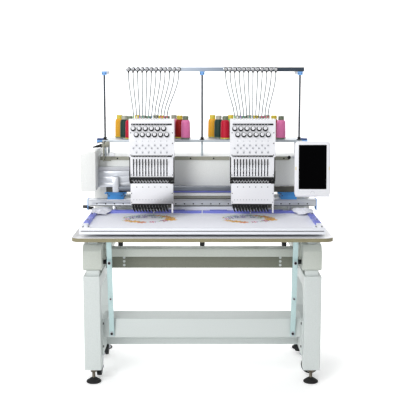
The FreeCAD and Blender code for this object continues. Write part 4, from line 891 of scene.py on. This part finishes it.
# %% Thread clips, cover dots and brackets
clips = Shape()
for x in HEADS:
    clips.slab((x - 100, -104.6, 941), (x + 90, -103.0, 957), 0.4, 1)
    for place in needle_xs(x):
        clips.tube([(place - 6, -107.5, 955), (place - 1, -110, 946), (place + 1, -110, 943),
                    (place + 4, -109, 944),
                    (place + 6, -107.5, 951)], 1.3, 0, 8)
        clips.tube([(place - 4, -106.5, 955.5), (place + 3, -108, 944)], 0.9, 2, 6)
    clips.slab((x - 100, -121, 930), (x + 92, -106, 937), 0.8, 3)
    clips.slab((x - 100, -124.9, 929), (x + 92, -122.5, 940), 0.6, 3)
    xs = needle_xs(x)
    for place in xs[1::2]:
        clips.pin(2.3, 0.7, (place, cover_low.y, 922), FORWARD, 1, 10)
    for place in xs:
        clips.lathe([(1.0, 0), (2.4, 0), (2.4, 0.5), (1.0, 0.6)], (place, cover_low.y, 858), FORWARD, 4, 12)
    for dx in (-101, 101):
        clips.screw((x + dx, cover_low.y, 890), FORWARD, 2.4, 1, 1.4)
        clips.screw((x + dx, cover_low.y, 846), FORWARD, 2.0, 1, 1.2)
    side = -1 if x < 0 else 1
    edge_x = x + side * 110.5
    clips.slab((min(edge_x, edge_x + side * 2), -119, 950), (max(edge_x, edge_x + side * 2), -100, 1000), 0.6,
               1)
    clips.slab((min(edge_x, edge_x - side * 9), -121, 950), (max(edge_x, edge_x - side * 9), -118, 962), 0.6,
               1)
piece("thread_clips", clips, [white_abs, oxide, chrome, white_abs, ground], "lower_covers")

# %% [markdown]
# Needle bars are hardened chrome rods with a clamp and screw; beside each hangs its presser foot, a dark bent
# arm with a coil spring on its stem. Eleven in each head are parked, and one sews.

# %% Needle bars and presser feet
def needle_bar(shape, x):
    """Bar, clamp, needle, foot stem, spring and hooked foot."""
    y, back = NEEDLE_Y, NEEDLE_Y + 10
    shape.lathe([(0, 864), (3.4, 864), (3.5, 866), (3.5, 1058), (2.6, 1060), (0, 1060)], (x, y, 0), slot=0,
                steps=14)
    shape.lathe([(0, 846), (4.6, 846), (6, 848.5), (6, 862), (4.8, 864), (0, 864)], (x, y, 0), slot=1,
                steps=16)
    shape.screw((x, y - 5.6, 855), FORWARD, 2.2, 0, 2.4)
    needle = [(0, 790.5), (0.25, 792), (0.6, 796), (0.6, 815), (1.0, 817), (1.0, 846), (0, 846)]
    shape.lathe(needle, (x, y, 0), slot=0, steps=8)
    shape.lathe([(0, 812), (2.5, 812), (2.5, 1004), (1.8, 1006), (0, 1006)], (x, back, 0), slot=0, steps=10)
    shape.tube(helix((x, back, 868), (x, back, 930), 3.6, 12, 8), 0.5, 2, 5)
    shape.slab((x - 3, back - 3, 858), (x + 3, back + 3, 867), 0.8, 1)
    arm = [(x, back, 852), (x, back + 0.5, 836), (x, back - 1, 822), (x, back - 3, 813), (x, y + 5.5, 808.5)]
    shape.tube(arm, [2.8, 2.8, 2.4, 2.2, 1.6], 1, 8)
    shape.ring([(2.1, 806), (5.4, 806), (6, 807), (5.4, 809), (2.1, 809), (2.1, 806)], (x, y, 0), slot=1,
               steps=20)


bars = Shape()
for x in HEADS:
    for number, place in enumerate(needle_xs(x)):
        if number != 6:
            needle_bar(bars, place)
piece("parked_bars", bars, [chrome, oxide, ground], "parked_needle_bars", stands=True)
for side, x in zip(("left", "right"), HEADS):
    active = Shape()
    needle_bar(active, x)
    node = "needle_bar_" + side
    piece("active_bar_" + side, active, [chrome, oxide, ground], node, stands=True)

feet = Shape()
for x in HEADS:
    # The first strip is painted shade: a dark grey backing that stands for the shade behind the row of feet.
    feet.slab((x - 99, -100, 814), (x + 95, -98, 840), 0.6, 2)
    feet.slab((x - 102, -121.9, 833), (x + 98, -112, 841), 0.6, 0)
    for place in needle_xs(x):
        hook = [(place - 3, -112, 836), (place - 4.5, -113.5, 824), (place - 2.5, -114, 812),
                (place + 2, -113, 802),
                (place + 4.4, -110, 796)]
        feet.tube(hook, [4.2, 4.4, 4.2, 3.8, 2.8], 0, 8)
        feet.tube([(place + 3, -111, 834), (place + 1, -112.6, 822), (place + 4, -112, 812)], [1.2, 1.4, 1.0],
                  1, 6)
piece("foot_guards_and_painted_shade", feet, [oxide, chrome, painted_recess_shade], "lower_covers")
print("needle bars made")

# %% [markdown]
# The pantograph's cross beam is a drilled aluminium box with blue end caps. Its two covers are folded sky-
# blue sheet, each with ears and four brown screws. On its left end sits a two-part black stop.

# %% Cross beam and covers
carry("x_beam", [anodised, nylon_blue, ground], edge=1.0,
      choose=lambda p, n: 1 if abs(p.x) > 597.8 else (2 if p.z < 785 and abs(p.x) < 520 else 0))
carry("carriage_covers", [sky_abs], edge=1.4)
beam_trim = Shape()
BEAM_FACE, HOLE_PITCH, HOOD_X = 115.0, 46, 454
for k in range(-12, 13):
    beam_trim.lathe([(2.1, -0.2), (3.6, 0), (3.6, 0.5), (2.1, 0.5)], (k * HOLE_PITCH, BEAM_FACE, 803),
                    FORWARD, 1, 14)
beam_trim.slab((-590, BEAM_FACE - 1.2, 818), (590, BEAM_FACE, 821), 0.4, 2)
beam_trim.slab((-590, BEAM_FACE - 0.8, 792.5), (590, BEAM_FACE, 795), 0.3, 1)
for side in (-1, 1):
    middle = side * HOOD_X
    for dx, z in ((-41, 855), (41, 855), (-34, 845), (34, 845)):
        beam_trim.screw((middle + dx, BEAM_FACE, z), FORWARD, 3.0, 3, 2.0)
    beam_trim.slab((middle - 41, BEAM_FACE - 1.0, 848), (middle + 41, BEAM_FACE, 850), 0.4, 4)
for x0, x1, y, z in ((-629, -600, 140, 784), (-606, -571, 126, 779)):
    beam_trim.tube([(x0, y, z), (x0 + 3, y, z), (x1 - 3, y, z), (x1, y, z)], [7.5, 8.5, 8.5, 7.5], 0, 16)
beam_trim.slab((-606, 118, 779), (-602, 150, 791), 0.6, 0)
piece("beam_trim", beam_trim, [black_abs, oxide, grey_abs, brown_screw, sky_abs], "x_beam")

# %% [markdown]
# The border frame is extruded aluminium with white lacquer. Violet PVC clips snap over its back and side bars
# and hold the cloth; shorter clips lap over the long ones.

# %% Border frame and clips
sash_low = box_mm("sash_bars")[0]
white_rail = grained("white_lacquered_aluminium", "EFF1F6", "E3E6EE", 0.30, 1.5, 0.01, stretch=(60, 1, 1))
carry("sash_bars", [white_rail, oxide], edge=1.0,
      choose=lambda p, n: 1 if p.y < sash_low.y + 5 and 754.4 < p.z < 759.6
                          and abs(n.y) > 0.5 and p.y > -449 else 0)
carry("cloth_clips", [violet_pvc], edge=0.8)
frame_trim = Shape()
for x0, x1 in ((-470, -350), (-190, -90), (40, 130), (310, 420)):
    frame_trim.slab((x0, 60, 774.0), (x1, 81, 777.4), 0.8, 0)
for side in (-1, 1):
    for y0 in (-270, -90):
        x0, x1 = sorted((side * 546, side * 567))
        frame_trim.slab((x0, y0, 774.0), (x1, y0 + 90, 777.0), 0.8, 0)
        frame_trim.slab((side * 556 - 3, y0 + 20, 777.0), (side * 556 + 3, y0 + 44, 778.6), 0.6, 1)
    for dx in (14, 40):
        frame_trim.screw((side * (569 - dx), -432, 774.0), UP, 4.0, 1, 2.4)
        frame_trim.screw((side * (569 - dx), -408, 774.0), UP, 3.0, 1, 1.8)
for side in (-1, 1):
    frame_trim.slab((side * 566 - 3, -449, 743), (side * 566 + 3, -427, 770.5), 0.8, 2)
piece("frame_trim", frame_trim, [violet_pvc, oxide, white_rail], "cloth_clips")
print("pantograph made")

# %% [markdown]
# The cloth is stretched over the border frame, nearly level with the bars' tops, and its spare corners are
# gathered over the back of the side bars. It is a grid of points: slack ripples near the edges, a flat
# middle, and folds where it is bunched.

# %% Cloth
CLOTH_TOP = 758.6
HALF_X, Y_FRONT, Y_BACK = 543.0, -424.6, 54.6


def cloth_height(x, y):
    """Height of the cloth above the flat, in millimetres."""
    edge = min(HALF_X - abs(x), y - Y_FRONT, Y_BACK - y)
    near = max(0.0, 1 - edge / 90)
    ripple = 0.55 * math.sin(x / 23 + 1.3 * math.sin(y / 61)) + 0.45 * math.sin(y / 19 + x / 140)
    slack = 0.25 * math.sin(x / 71 + y / 97) + 0.2 * math.sin(x / 37 - y / 53)
    return slack + ripple * near * near + (3.2 * near ** 6)


def cloth_point(u, v):
    """A point of the cloth from its shares of the width and the depth."""
    x, y = -HALF_X + 2 * HALF_X * u, Y_FRONT + (Y_BACK - Y_FRONT) * v
    return x, y, CLOTH_TOP + cloth_height(x, y)


cloth = Shape()
CELL = 9.0
cloth.grid(int(2 * HALF_X / CELL), int((Y_BACK - Y_FRONT) / CELL), cloth_point)
sheet = piece("embroidered_cloth", cloth, [cotton], "cloth", stands=True, sharp=180, outward=False)

# %% [markdown]
# The gathered corners are separate scraps of the same cotton, laid over the side bars' back ends: each is a
# small sheet whose folds radiate from the corner.


def gathered(side):
    """The surface of one corner: a mound of creases that lies on the bars outside and on the cloth inside."""
    shift = Vector((side * 3.7, 1.3, 0))

    def point(u, v):
        wander = noise.noise(Vector((u * 3, v * 3, 5)) + shift)
        x = side * (567 - 104 * u * (1 - 0.3 * v) + 9 * wander * u)
        y = 81 - 112 * v * (1 - 0.3 * u) + 9 * wander * v
        crease = noise.ridged_multi_fractal(Vector((u * 2.6 + 1.5 * v, v * 2.2, 0)) + shift, 0.9, 2.2, 4, 1.0,
                                            2.0)
        reach = math.hypot(u, v)
        rim = max(0.0, math.sin(math.pi * min(1.0, reach / 1.15)))
        z = 778 + 9 * rim + 8.5 * (crease - 0.9) * (0.25 + rim) - max(0.0, reach - 0.8) * 26
        floor_z = 775.6 if abs(x) > 541 or y > 55 else 761.5
        return x, y, min(791.0, max(z, floor_z + 0.4 * crease))

    return point


for side in (-1, 1):
    fold = Shape()
    fold.grid(46, 34, gathered(side))
    name = "gathered_corner_left" if side < 0 else "gathered_corner_right"
    corner = piece(name, fold, [cotton], "cloth", sharp=180, outward=False)

# %% [markdown]
# Two stitched wreaths of made-up flowers. Each petal and leaf is a raised satin-stitch lens of thread, 0.5 mm
# proud; stems are running stitches. The design is random from a fixed seed, the same on both heads.

# %% Embroidered wreaths
def satin(shape, x, y, length, width, turn, slot):
    """One satin-stitch lens: a pointed oval with a raised middle."""
    cos, sin = math.cos(turn), math.sin(turn)
    steps = 8
    start = len(shape.points)
    for k in range(steps):
        a = math.tau * k / steps
        u, v = length / 2 * math.cos(a), width / 2 * math.sin(a) * (1 - 0.25 * math.cos(a) ** 2)
        px, py = x + u * cos - v * sin, y + u * sin + v * cos
        shape.points.append(Vector((px, py, CLOTH_TOP + cloth_height(px, py) - 0.1)))
    shape.points.append(Vector((x, y, CLOTH_TOP + cloth_height(x, y) + 0.9)))
    for k in range(steps):
        j = (k + 1) % steps
        shape.face((start + k, start + j, start + steps), slot,
                   [(k / 8, 0.0), (k / 8 + 0.1, 0.0), (k / 8, 6.0)])


def flower(shape, x, y, size, petals, slot, heart):
    """Petals round a heart."""
    first = random.uniform(0, math.tau)
    for k in range(petals):
        a = first + math.tau * k / petals
        satin(shape, *around((x, y), size * 0.55, a), size * 0.95, size * 0.5, a, slot)
    satin(shape, x, y, size * 0.42, size * 0.42, 0, heart)


WREATH = ["yellow", "orange", "lavender", "blue", "lime", "teal", "scarlet", "rose"]
BLOOMS = [(12, 112, 34, 7, 0, 1), (-14, 116, 38, 8, 0, 1), (38, 108, 32, 7, 0, 1), (64, 104, 22, 6, 0, 6),
          (-38, 104, 22, 5, 7, 0), (232, 108, 34, 7, 0, 1), (256, 112, 30, 7, 1, 0), (210, 116, 24, 6, 0, 6),
          (150, 100, 22, 5, 2, 0), (168, 84, 20, 5, 3, 0), (128, 92, 20, 5, 3, 2), (104, 84, 20, 5, 2, 3),
          (84, 92, 20, 5, 3, 2), (284, 104, 20, 5, 7, 0), (184, 108, 18, 5, 7, 0), (320, 98, 18, 5, 2, 3),
          (60, 52, 20, 5, 3, 2), (118, 50, 20, 5, 2, 3), (150, 62, 18, 5, 3, 2), (20, 66, 18, 5, 4, 0)]
wreaths = Shape()
for x in HEADS:
    random.seed(7)
    centre = (x - 20, -98)
    for degrees, reach, size, petals, slot, heart in BLOOMS:
        a = math.radians(degrees)
        flower(wreaths, *around(centre, reach, a), size, petals, slot, heart)
    for k in range(120):
        a = math.tau * k / 120 + random.uniform(-0.03, 0.03)
        reach = 106 + random.uniform(-16, 22)
        slot = random.choice((4, 5, 4, 2, 3))
        satin(wreaths, *around(centre, reach, a), random.uniform(8, 15),
              random.uniform(2.6, 4.4), a + random.uniform(0.5, 2.4), slot)
    for k in range(90):
        a = math.radians(random.choice((20, 60, 150, 215, 250, 330)) + random.uniform(-22, 22))
        reach = random.uniform(92, 134)
        satin(wreaths, *around(centre, reach, a), random.uniform(9, 17),
              random.uniform(4, 7), random.uniform(0, math.pi), random.choice((0, 1, 2, 3, 5, 4)))
    for k in range(26):
        a = math.radians(118 + 2.2 * k)
        satin(wreaths, *around(centre, 128, a, 122), 9, 3.2, a + 1.2, 4)
piece("stitched_wreaths", wreaths, [threads[name] for name in WREATH], "cloth", sharp=180, outward=False)
print("cloth and stitching made")

# %% [markdown]
# The thread shelf is a folded sheet tray on thin supports. Blue and navy nylon brackets close its ends, and
# the posts of the thread tree stand in flanged sockets.

# %% Shelf and tree
shelf_high = box_mm("thread_shelf")[1]
carry("thread_shelf", [steel_blue], edge=0.8)
tree_high = box_mm("thread_tree")[1]
BAR_LOW = tree_high.z - 22
CLAMP_LOW = BAR_LOW - 18.2
POST_X, POST_Y, POST_HALF = 505.0, 130.0, 5.6


def tree_finish(p, n):
    """Bar on top, nylon clamps under it, steel posts below."""
    if p.z > BAR_LOW - 0.05:
        return 1
    near_post = min(abs(abs(p.x) - POST_X), abs(p.x)) < POST_HALF and abs(p.y - POST_Y) < POST_HALF
    return 2 if p.z > CLAMP_LOW and (abs(n.z) > 0.5 or not near_post) else 0


carry("thread_tree", [anodised_up, brushed_bar_painted_reflection, nylon_blue], choose=tree_finish, edge=0.7)
stand_trim = Shape()
for x in (-POST_X, 0.0, POST_X):
    stand_trim.lathe([(5.1, 0), (13, 0), (13, 3), (8, 5), (8, 14), (5.1, 15), (5.1, 0)],
                     (x, POST_Y, shelf_high.z),
                     slot=0, steps=24)
    stand_trim.screw((x + 8, POST_Y - 12, BAR_LOW - 9), FORWARD, 2.6, 2, 1.6)
    stand_trim.screw((x - 8, POST_Y - 12, BAR_LOW - 9), FORWARD, 2.6, 2, 1.6)
    stand_trim.screw((x, 120, 1130), FORWARD, 3.0, 2, 1.8)
for side in (-1, 1):
    for near, far, y0, y1, z0, z1, edge, slot in (
            (520, 549, 116, 150, 1124, 1137, 1.2, 1), (512, 548, 116, 150, 1138.2, 1146, 2.0, 3),
            (478, 500, POST_Y - 9, POST_Y + 9, BAR_LOW - 13, BAR_LOW - 0.2, 1.0, 4)):
        x0, x1 = sorted((side * near, side * far))
        stand_trim.slab((x0, y0, z0), (x1, y1, z1), edge, slot)
piece("stand_fittings", stand_trim, [oxide, nylon_blue, oxide, nylon_navy, grey_abs], "thread_shelf")

# %% [markdown]
# Guide discs: each is a dark ring round a bright flange with a white ceramic eyelet in the middle, where the
# thread turns into its tube. A small socket below holds the tube.

# %% Guide discs
DISC_PITCH, DISC_Z, BACK = 23.5, 1502.0, 127.0
disc_xs = {x: [x + (k - 5.5) * DISC_PITCH for k in range(12)] for x in HEADS}
discs = Shape()
for x in HEADS:
    for place in disc_xs[x]:
        at = (place, BACK, DISC_Z)
        outer = [(0, 0), (11.3, 0), (11.6, 1), (11.6, 4), (10.6, 5.6), (9.4, 6.2), (8.6, 9.6), (8.0, 10),
                 (0, 10)]
        discs.lathe(outer, at, FORWARD, 0, 28)
        discs.lathe([(7.9, 9.6), (9.2, 9.8), (9.5, 10.8), (8.8, 11.6), (7.9, 11.2), (7.9, 9.6)], at, FORWARD,
                    0, 28)
        discs.lathe([(9.6, 5.8), (10.4, 5.6), (10.5, 6.4), (9.7, 6.6), (9.6, 5.8)], at, FORWARD, 1, 28)
        eyelet = [(3.2, 10.2), (3.0, 11.6), (4.2, 12.2), (6.0, 11.9), (6.6, 10.8), (6.4, 9.9), (3.2, 10.2)]
        discs.ring(eyelet, at, FORWARD, 2)
        discs.lathe([(0, 1484), (4.3, 1484), (4.5, 1485), (4.5, 1489), (3.4, 1491), (0, 1492)],
                    (place, BACK - 6, 0),
                    slot=0, steps=16)
piece("guide_disc_rings", discs, [oxide, chrome, white_abs], "guide_discs", stands=True)

# %% [markdown]
# Thread tubes: clear hose from each disc down to its needle. Each follows one smooth curve through the points
# of its real route. Its lower end is clipped to the needle cases, but the hose rides on no body, so it does
# not move with them.

# %% Thread tubes
def smooth_line(points):
    """Close points read from one smooth NURBS curve through the route's points."""
    curve = bpy.data.curves.new("route", "CURVE")
    curve.dimensions = "3D"
    spline = curve.splines.new("NURBS")
    spline.points.add(len(points) - 1)
    for spot, point in zip(spline.points, points):
        spot.co = (*point, 1.0)
    spline.order_u = 4
    spline.use_endpoint_u = True
    spline.resolution_u = 10
    holder = bpy.data.objects.new("route", curve)
    line = bpy.data.meshes.new_from_object(holder)
    places = [v.co.copy() for v in line.vertices]
    bpy.data.objects.remove(holder)
    return places


TUBE_SHARES = ((0.0, 0.0), (0.15, 0.0), (0.38, 0.26), (0.62, 0.66), (0.86, 1.0), (1.0, 1.0))
tubes = Shape()
TUBE_TOP, TUBE_LOW = Vector((0, 121, 1483.9)), Vector((0, -83, 1256.6))
for x in HEADS:
    for top_x, low_x in zip(disc_xs[x], needle_xs(x)):
        route = []
        for share, slide in TUBE_SHARES:
            y = TUBE_TOP.y + slide * (TUBE_LOW.y - TUBE_TOP.y)
            route.append(Vector((top_x + slide * (low_x - top_x), y,
                                 TUBE_TOP.z + share * (TUBE_LOW.z - TUBE_TOP.z))))
        tubes.tube(smooth_line(route), 3.0, 0, 10)
hoses = piece("thread_tubes_clear", tubes, [silicone], "thread_tubes", stands=True, sharp=60)
hoses.parent = None
hoses.matrix_world = Matrix.Identity(4)
if "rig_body" in hoses:
    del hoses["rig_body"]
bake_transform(hoses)

# %% [markdown]
# Where each tube enters the case a ferrule grips it, and a few millimetres of coloured thread show.

# %% Tube ferrules
FERRULE_Y, FERRULE_Z = -83, 1256.0
ferrules = Shape()
for x in HEADS:
    for number, place in enumerate(needle_xs(x)):
        at = (place, FERRULE_Y, FERRULE_Z)
        ferrules.lathe([(0, 0), (4.2, 0), (4.2, 4), (3.4, 6), (0, 6)], at, slot=0, steps=16)
        ferrules.pin(3.1, 8, (place, FERRULE_Y, FERRULE_Z + 6), slot=2 + number, steps=12)
        ferrules.slab((place - 2.0, -88, FERRULE_Z), (place + 2.0, -80, FERRULE_Z + 2), 0.4, 1)
ferrule_colours = ["lime", "white", "lavender", "teal", "pine", "teal", "blue", "olive", "black", "rose",
                   "rose", "red"]
piece("tube_ferrules", ferrules, [white_abs, oxide] + [threads[c] for c in ferrule_colours], "tension_panels")

# %% [markdown]
# Cones of thread: a wound body with rounded shoulders on a plastic foot, with a cap that holds the tail. Real
# windings are not perfect, so each body swells a little differently.

# %% Thread cones
CONE_COLOURS = ["yellow", "forest", "red", "lime", "lavender", "teal", "blue", "olive", "black", "pink",
                "scarlet",
                "pink"]
CAPS = [yellow_abs, olive_abs, pale_cap_abs]
cone_materials = [threads[c] for c in CONE_COLOURS] + CAPS + [white_abs]
cones = Shape()
CONE_PITCH, ROW_GAP = 32.5, 62.0
shelf_z = shelf_high.z
random.seed(3)
for x in HEADS:
    for k in range(12):
        cx = x - 15 + (k - 5.5) * CONE_PITCH
        cy = 165.0 + ROW_GAP * (2 - k % 3)
        at = (cx, cy, shelf_z + 4)
        foot = 12 + (0 if k in (0, 4, 8) else 1 if k % 2 else 0)
        cap = 12 + (0 if k in (0, 3, 7, 10) else 1 if k in (2, 5, 8, 11) else 2)
        swell = random.uniform(-0.5, 0.2)
        cones.lathe([(3.4, 0), (25.4, 0), (26, 1), (26, 2.6), (24, 4.4), (3.4, 4.4), (3.4, 0)], at, slot=foot,
                    steps=32)
        body = [(20, 4.5), (23.8, 5.6), (24.5 + swell, 9), (24.4 + swell, 30), (23.9 + swell, 55),
                (23.2 + swell, 78),
                (22.6, 86), (20.6, 92), (17, 96.5), (13, 98.5)]
        cones.lathe(body, at, slot=k, steps=36)
        cones.lathe([(3.4, 96), (15.5, 97.5), (15.5, 103), (14.8, 104), (14.6, 116), (13.6, 118), (3.4, 118),
                     (3.4, 96)], at, slot=cap, steps=24)
        for turn in range(6):
            fx, fy = around((cx, cy), 14.6, math.tau * turn / 6)
            cones.slab((fx - 1, fy - 1, shelf_z + 109), (fx + 1, fy + 1, shelf_z + 120), 0.3, cap)
piece("wound_cones", cones, cone_materials, "thread_cones", stands=True, sharp=40)
carry("cone_pins", [ground], edge=0.4)
print("thread stand made")

# %% [markdown]
# The control panel is a white ABS shell with generous corners and a lip that curls forward at the bottom. Its
# glass is flush in a shallow recess, and the round button below it sits in a ring.

# %% Control panel
LEAN = math.radians(-5)
HINGE = Vector((0, -90, 1000))


def leaned(shape):
    """Tilt a shape back about the panel's hinge."""
    turn = Matrix.Rotation(LEAN, 4, "X")
    shape.points = [turn @ (p - HINGE) + HINGE for p in shape.points]
    return shape


X0, X1, Z0, Z1 = 456.0, 634.0, 871.0, 1146.0
BUTTON_Z = 890
MID = Vector(((X0 + X1) / 2, 0, (Z0 + Z1) / 2))
shell = Shape()
rings = []
for depth, inset in ((-109, 8), (-110, 4), (-114, 1), (-122, 0), (-130, 0.8), (-133.5, 3), (-135, 7)):
    flat = rounded(X1 - X0 - 2 * inset, Z1 - Z0 - 2 * inset, 20 - inset * 0.6, 7)
    rings.append([(MID.x + u, depth, MID.z + v) for u, v in flat])
shell.loft(rings, 0)
shell.slab((X0 + 14, -134.9, 905.5), (X1 - 14, -134.0, 906.3), 0.2, 1)
front = []
for t in range(13):
    u = -1 + t / 6
    x = MID.x + u * 84
    bow = 3.0 * (1 - u * u)
    front.append([(x, -133.5, 888), (x, -137 - bow, 884), (x, -138.5 - bow, 879),
                  (x, -136.5 - bow * 0.6, 874),
                  (x, -131, 871.4), (x, -126, 872), (x, -126, 886)])
shell.loft(front, 0)
for side, x in ((-1, X0 + 3.2), (1, X1 - 9.2)):
    shell.slab((x, -135.6, 1004), (x + 6, -134.6, 1020), 0.3, 2)
for k in range(7):
    shell.slab((MID.x - 50, -109.2, 1040 + 9 * k), (MID.x + 50, -108.4, 1044 + 9 * k), 0.3, 1)
for dx in (-76, 76):
    for z in (890, 1128):
        shell.screw((MID.x + dx, -109.4, z), (0, 1, 0), 3.4, 1, 1.4)
piece("panel_shell", leaned(shell), [white_abs, grey_abs, cream_abs], "control_panel", stands=True, sharp=40)
hinge = Shape()
for x0, x1 in ((550, 559.7), (600.3, 610)):
    hinge.lathe([(0, 0), (11, 0), (12, 1), (12, x1 - x0 - 1), (11, x1 - x0), (0, x1 - x0)],
                (x0, HINGE.y, HINGE.z),
                (1, 0, 0), 0, 28)
    hinge.slab((x0, -109.5, 988.5), (x1, -92, 1011.5), 0.8, 0)
hinge.pin(4, 60, (550, HINGE.y, HINGE.z), RIGHT, 1, 20)
piece("panel_hinge", leaned(hinge), [grey_abs, ground], "control_panel")
screen = Shape()
flat = rounded(137.6, 218.6, 2.5, 4)
screen.plate(flat, (MID.x, -133.0, 1018.5), RIGHT, UP, 2.5, 0.5)
screen.points = [Vector((p.x, p.y - 0.4 if p.y < -133.5 else p.y, p.z)) for p in screen.points]
piece("display_glass", leaned(screen), [glass_black], "panel_screen", stands=True)
button = Shape()
button.lathe([(0, 0), (7.8, 0), (7.8, 2.6), (7.0, 3.7), (6.2, 3.4), (0, 3.1)], (MID.x, -131.4, BUTTON_Z),
             FORWARD, 0, 28)
piece("round_button", leaned(button), [white_abs], "home_button", stands=True)
collar = Shape()
collar.ring([(8.3, 134.4), (8.3, 135.3), (9.3, 135.5), (9.8, 134.9), (9.8, 134.4), (8.3, 134.4)],
            (MID.x, 0, BUTTON_Z), FORWARD, 0, 32)
piece("button_ring", leaned(collar), [grey_abs], "control_panel")

# %% [markdown]
# The bobbin winder: a cast bracket with a small motor, and a dark spindle on which a bobbin is pressed. A
# rubber drive ring and a latch lever finish it.

# %% Bobbin winder
carry("bobbin_winder", [grey_enamel_and_painted_shade], edge=1.0)
carry("winder_spindle", [oxide], edge=0.5)
lean = math.radians(12)
way = Vector((-math.cos(lean), 0, -math.sin(lean)))
base = Vector((-509, 87, 1114))
spindle = Shape()
for h in (18.5, 22.5, 26.5, 30.5, 34.5):
    spindle.lathe([(6.9, -0.9), (7.3, 0), (6.9, 0.9)], base + way * h, way, 0, 24)
spindle.lathe([(9.9, -2), (10.6, -1), (10.6, 1), (9.9, 2)], base + way * 13.3, way, 1, 28)
piece("spindle_ridges", spindle, [oxide, rubber], "winder_spindle")
winder = Shape()
winder.tube([(-509, 74, 1126), (-520, 70, 1130), (-534, 70, 1128), (-544, 72, 1122)], [2.6, 2.4, 2.2, 1.8], 1,
            8)
winder.slab((-508, 72, 1118), (-503.5, 84, 1131), 0.8, 1)
for z in (1040, 1062):
    winder.screw((-506, 87, z), RIGHT, 3.0, 1, 1.8)
winder.slab((-482, 84, 1054.5), (-452, 104, 1074), 2.0, 0)
piece("winder_latch", winder, [white_abs, oxide], "bobbin_winder")
print("panel and winder made")

# %% [markdown]
# Small things that the covers carry: a round black knob where the panel's arm leaves the bridge, a short grey
# tube and screws.

# %% Small fittings on the bridge
small = Shape()
small.lathe([(0, 0), (9, 0), (9, 4), (7, 7), (0, 8)], (452, 104, 1048), FORWARD, 0, 20)
small.tube([(470, 100, 1050), (500, 90, 1058), (535, 60, 1060)], [6, 6, 6], 1, 12)
for x in (-490, -300, -200, 200, 300):
    small.screw((x, 105, 1046), FORWARD, 3.4, 0, 2.0)
piece("bridge_knob", small, [oxide, grey_abs], "right_end_box")

# %% [markdown]
# A plain pale floor and wall in one sweep, a broad soft light from the front above, a second lower at the
# front, one overhead and one behind, and a bright even surround, as in a product studio.

# %% Floor and lights
floor_shape = Shape()
profile = [(-9000, 0), (2600, 0), (3000, 30), (3400, 160), (3700, 420), (3860, 800), (3900, 1300),
           (3900, 7000)]
for y, z in profile:
    floor_shape.points += [Vector((-9000, y, z)), Vector((9000, y, z))]
for k in range(len(profile) - 1):
    a = 2 * k
    floor_shape.face((a, a + 1, a + 3, a + 2), 0)
studio_white, tree, shader = finish("studio_paper", "F6F6F6", 0.9, Emission_Color=(1, 1, 1, 1),
                                    Emission_Strength=0.30)
mesh = bpy.data.meshes.new("studio_sweep")
mesh.from_pydata([p * 0.001 for p in floor_shape.points], [], floor_shape.faces)
mesh.materials.append(studio_white)
mesh.polygons.foreach_set("use_smooth", [True] * len(mesh.polygons))
sweep = bpy.data.objects.new("studio_sweep", mesh)
bpy.context.collection.objects.link(sweep)

LIGHTS = [("key", (-1.6, -3.4, 4.2), (0, 0, 0.9), 2.2, 72),
          ("front", (-2.4, -5.0, 2.2), (0, 0, 1.2), 2.2, 95),
          ("top", (0, 0.2, 3.8), (0, 0.2, 0.9), 2.4, 26), ("back", (0, 2.6, 3.4), (0, 3.9, 1.2), 3.0, 80)]
for name, place, target, size, power in LIGHTS:
    lamp = bpy.data.lights.new(name, "AREA")
    lamp.shape = "DISK"
    lamp.size, lamp.energy = size, power
    holder = bpy.data.objects.new(name, lamp)
    holder.location = place
    holder.rotation_euler = (Vector(target) - Vector(place)).to_track_quat("-Z", "Y").to_euler()
    bpy.context.collection.objects.link(holder)
world = bpy.data.worlds.new("surround")
world.use_nodes = True
world.node_tree.nodes["Background"].inputs["Color"].default_value = (1, 1, 1, 1)
world.node_tree.nodes["Background"].inputs["Strength"].default_value = 0.36
bpy.context.scene.world = world
bpy.context.scene.view_settings.view_transform = "Standard"

# %% [markdown]
# Last, the number of pieces made is printed.

# %% Count of pieces
print("pieces made:", len(made))
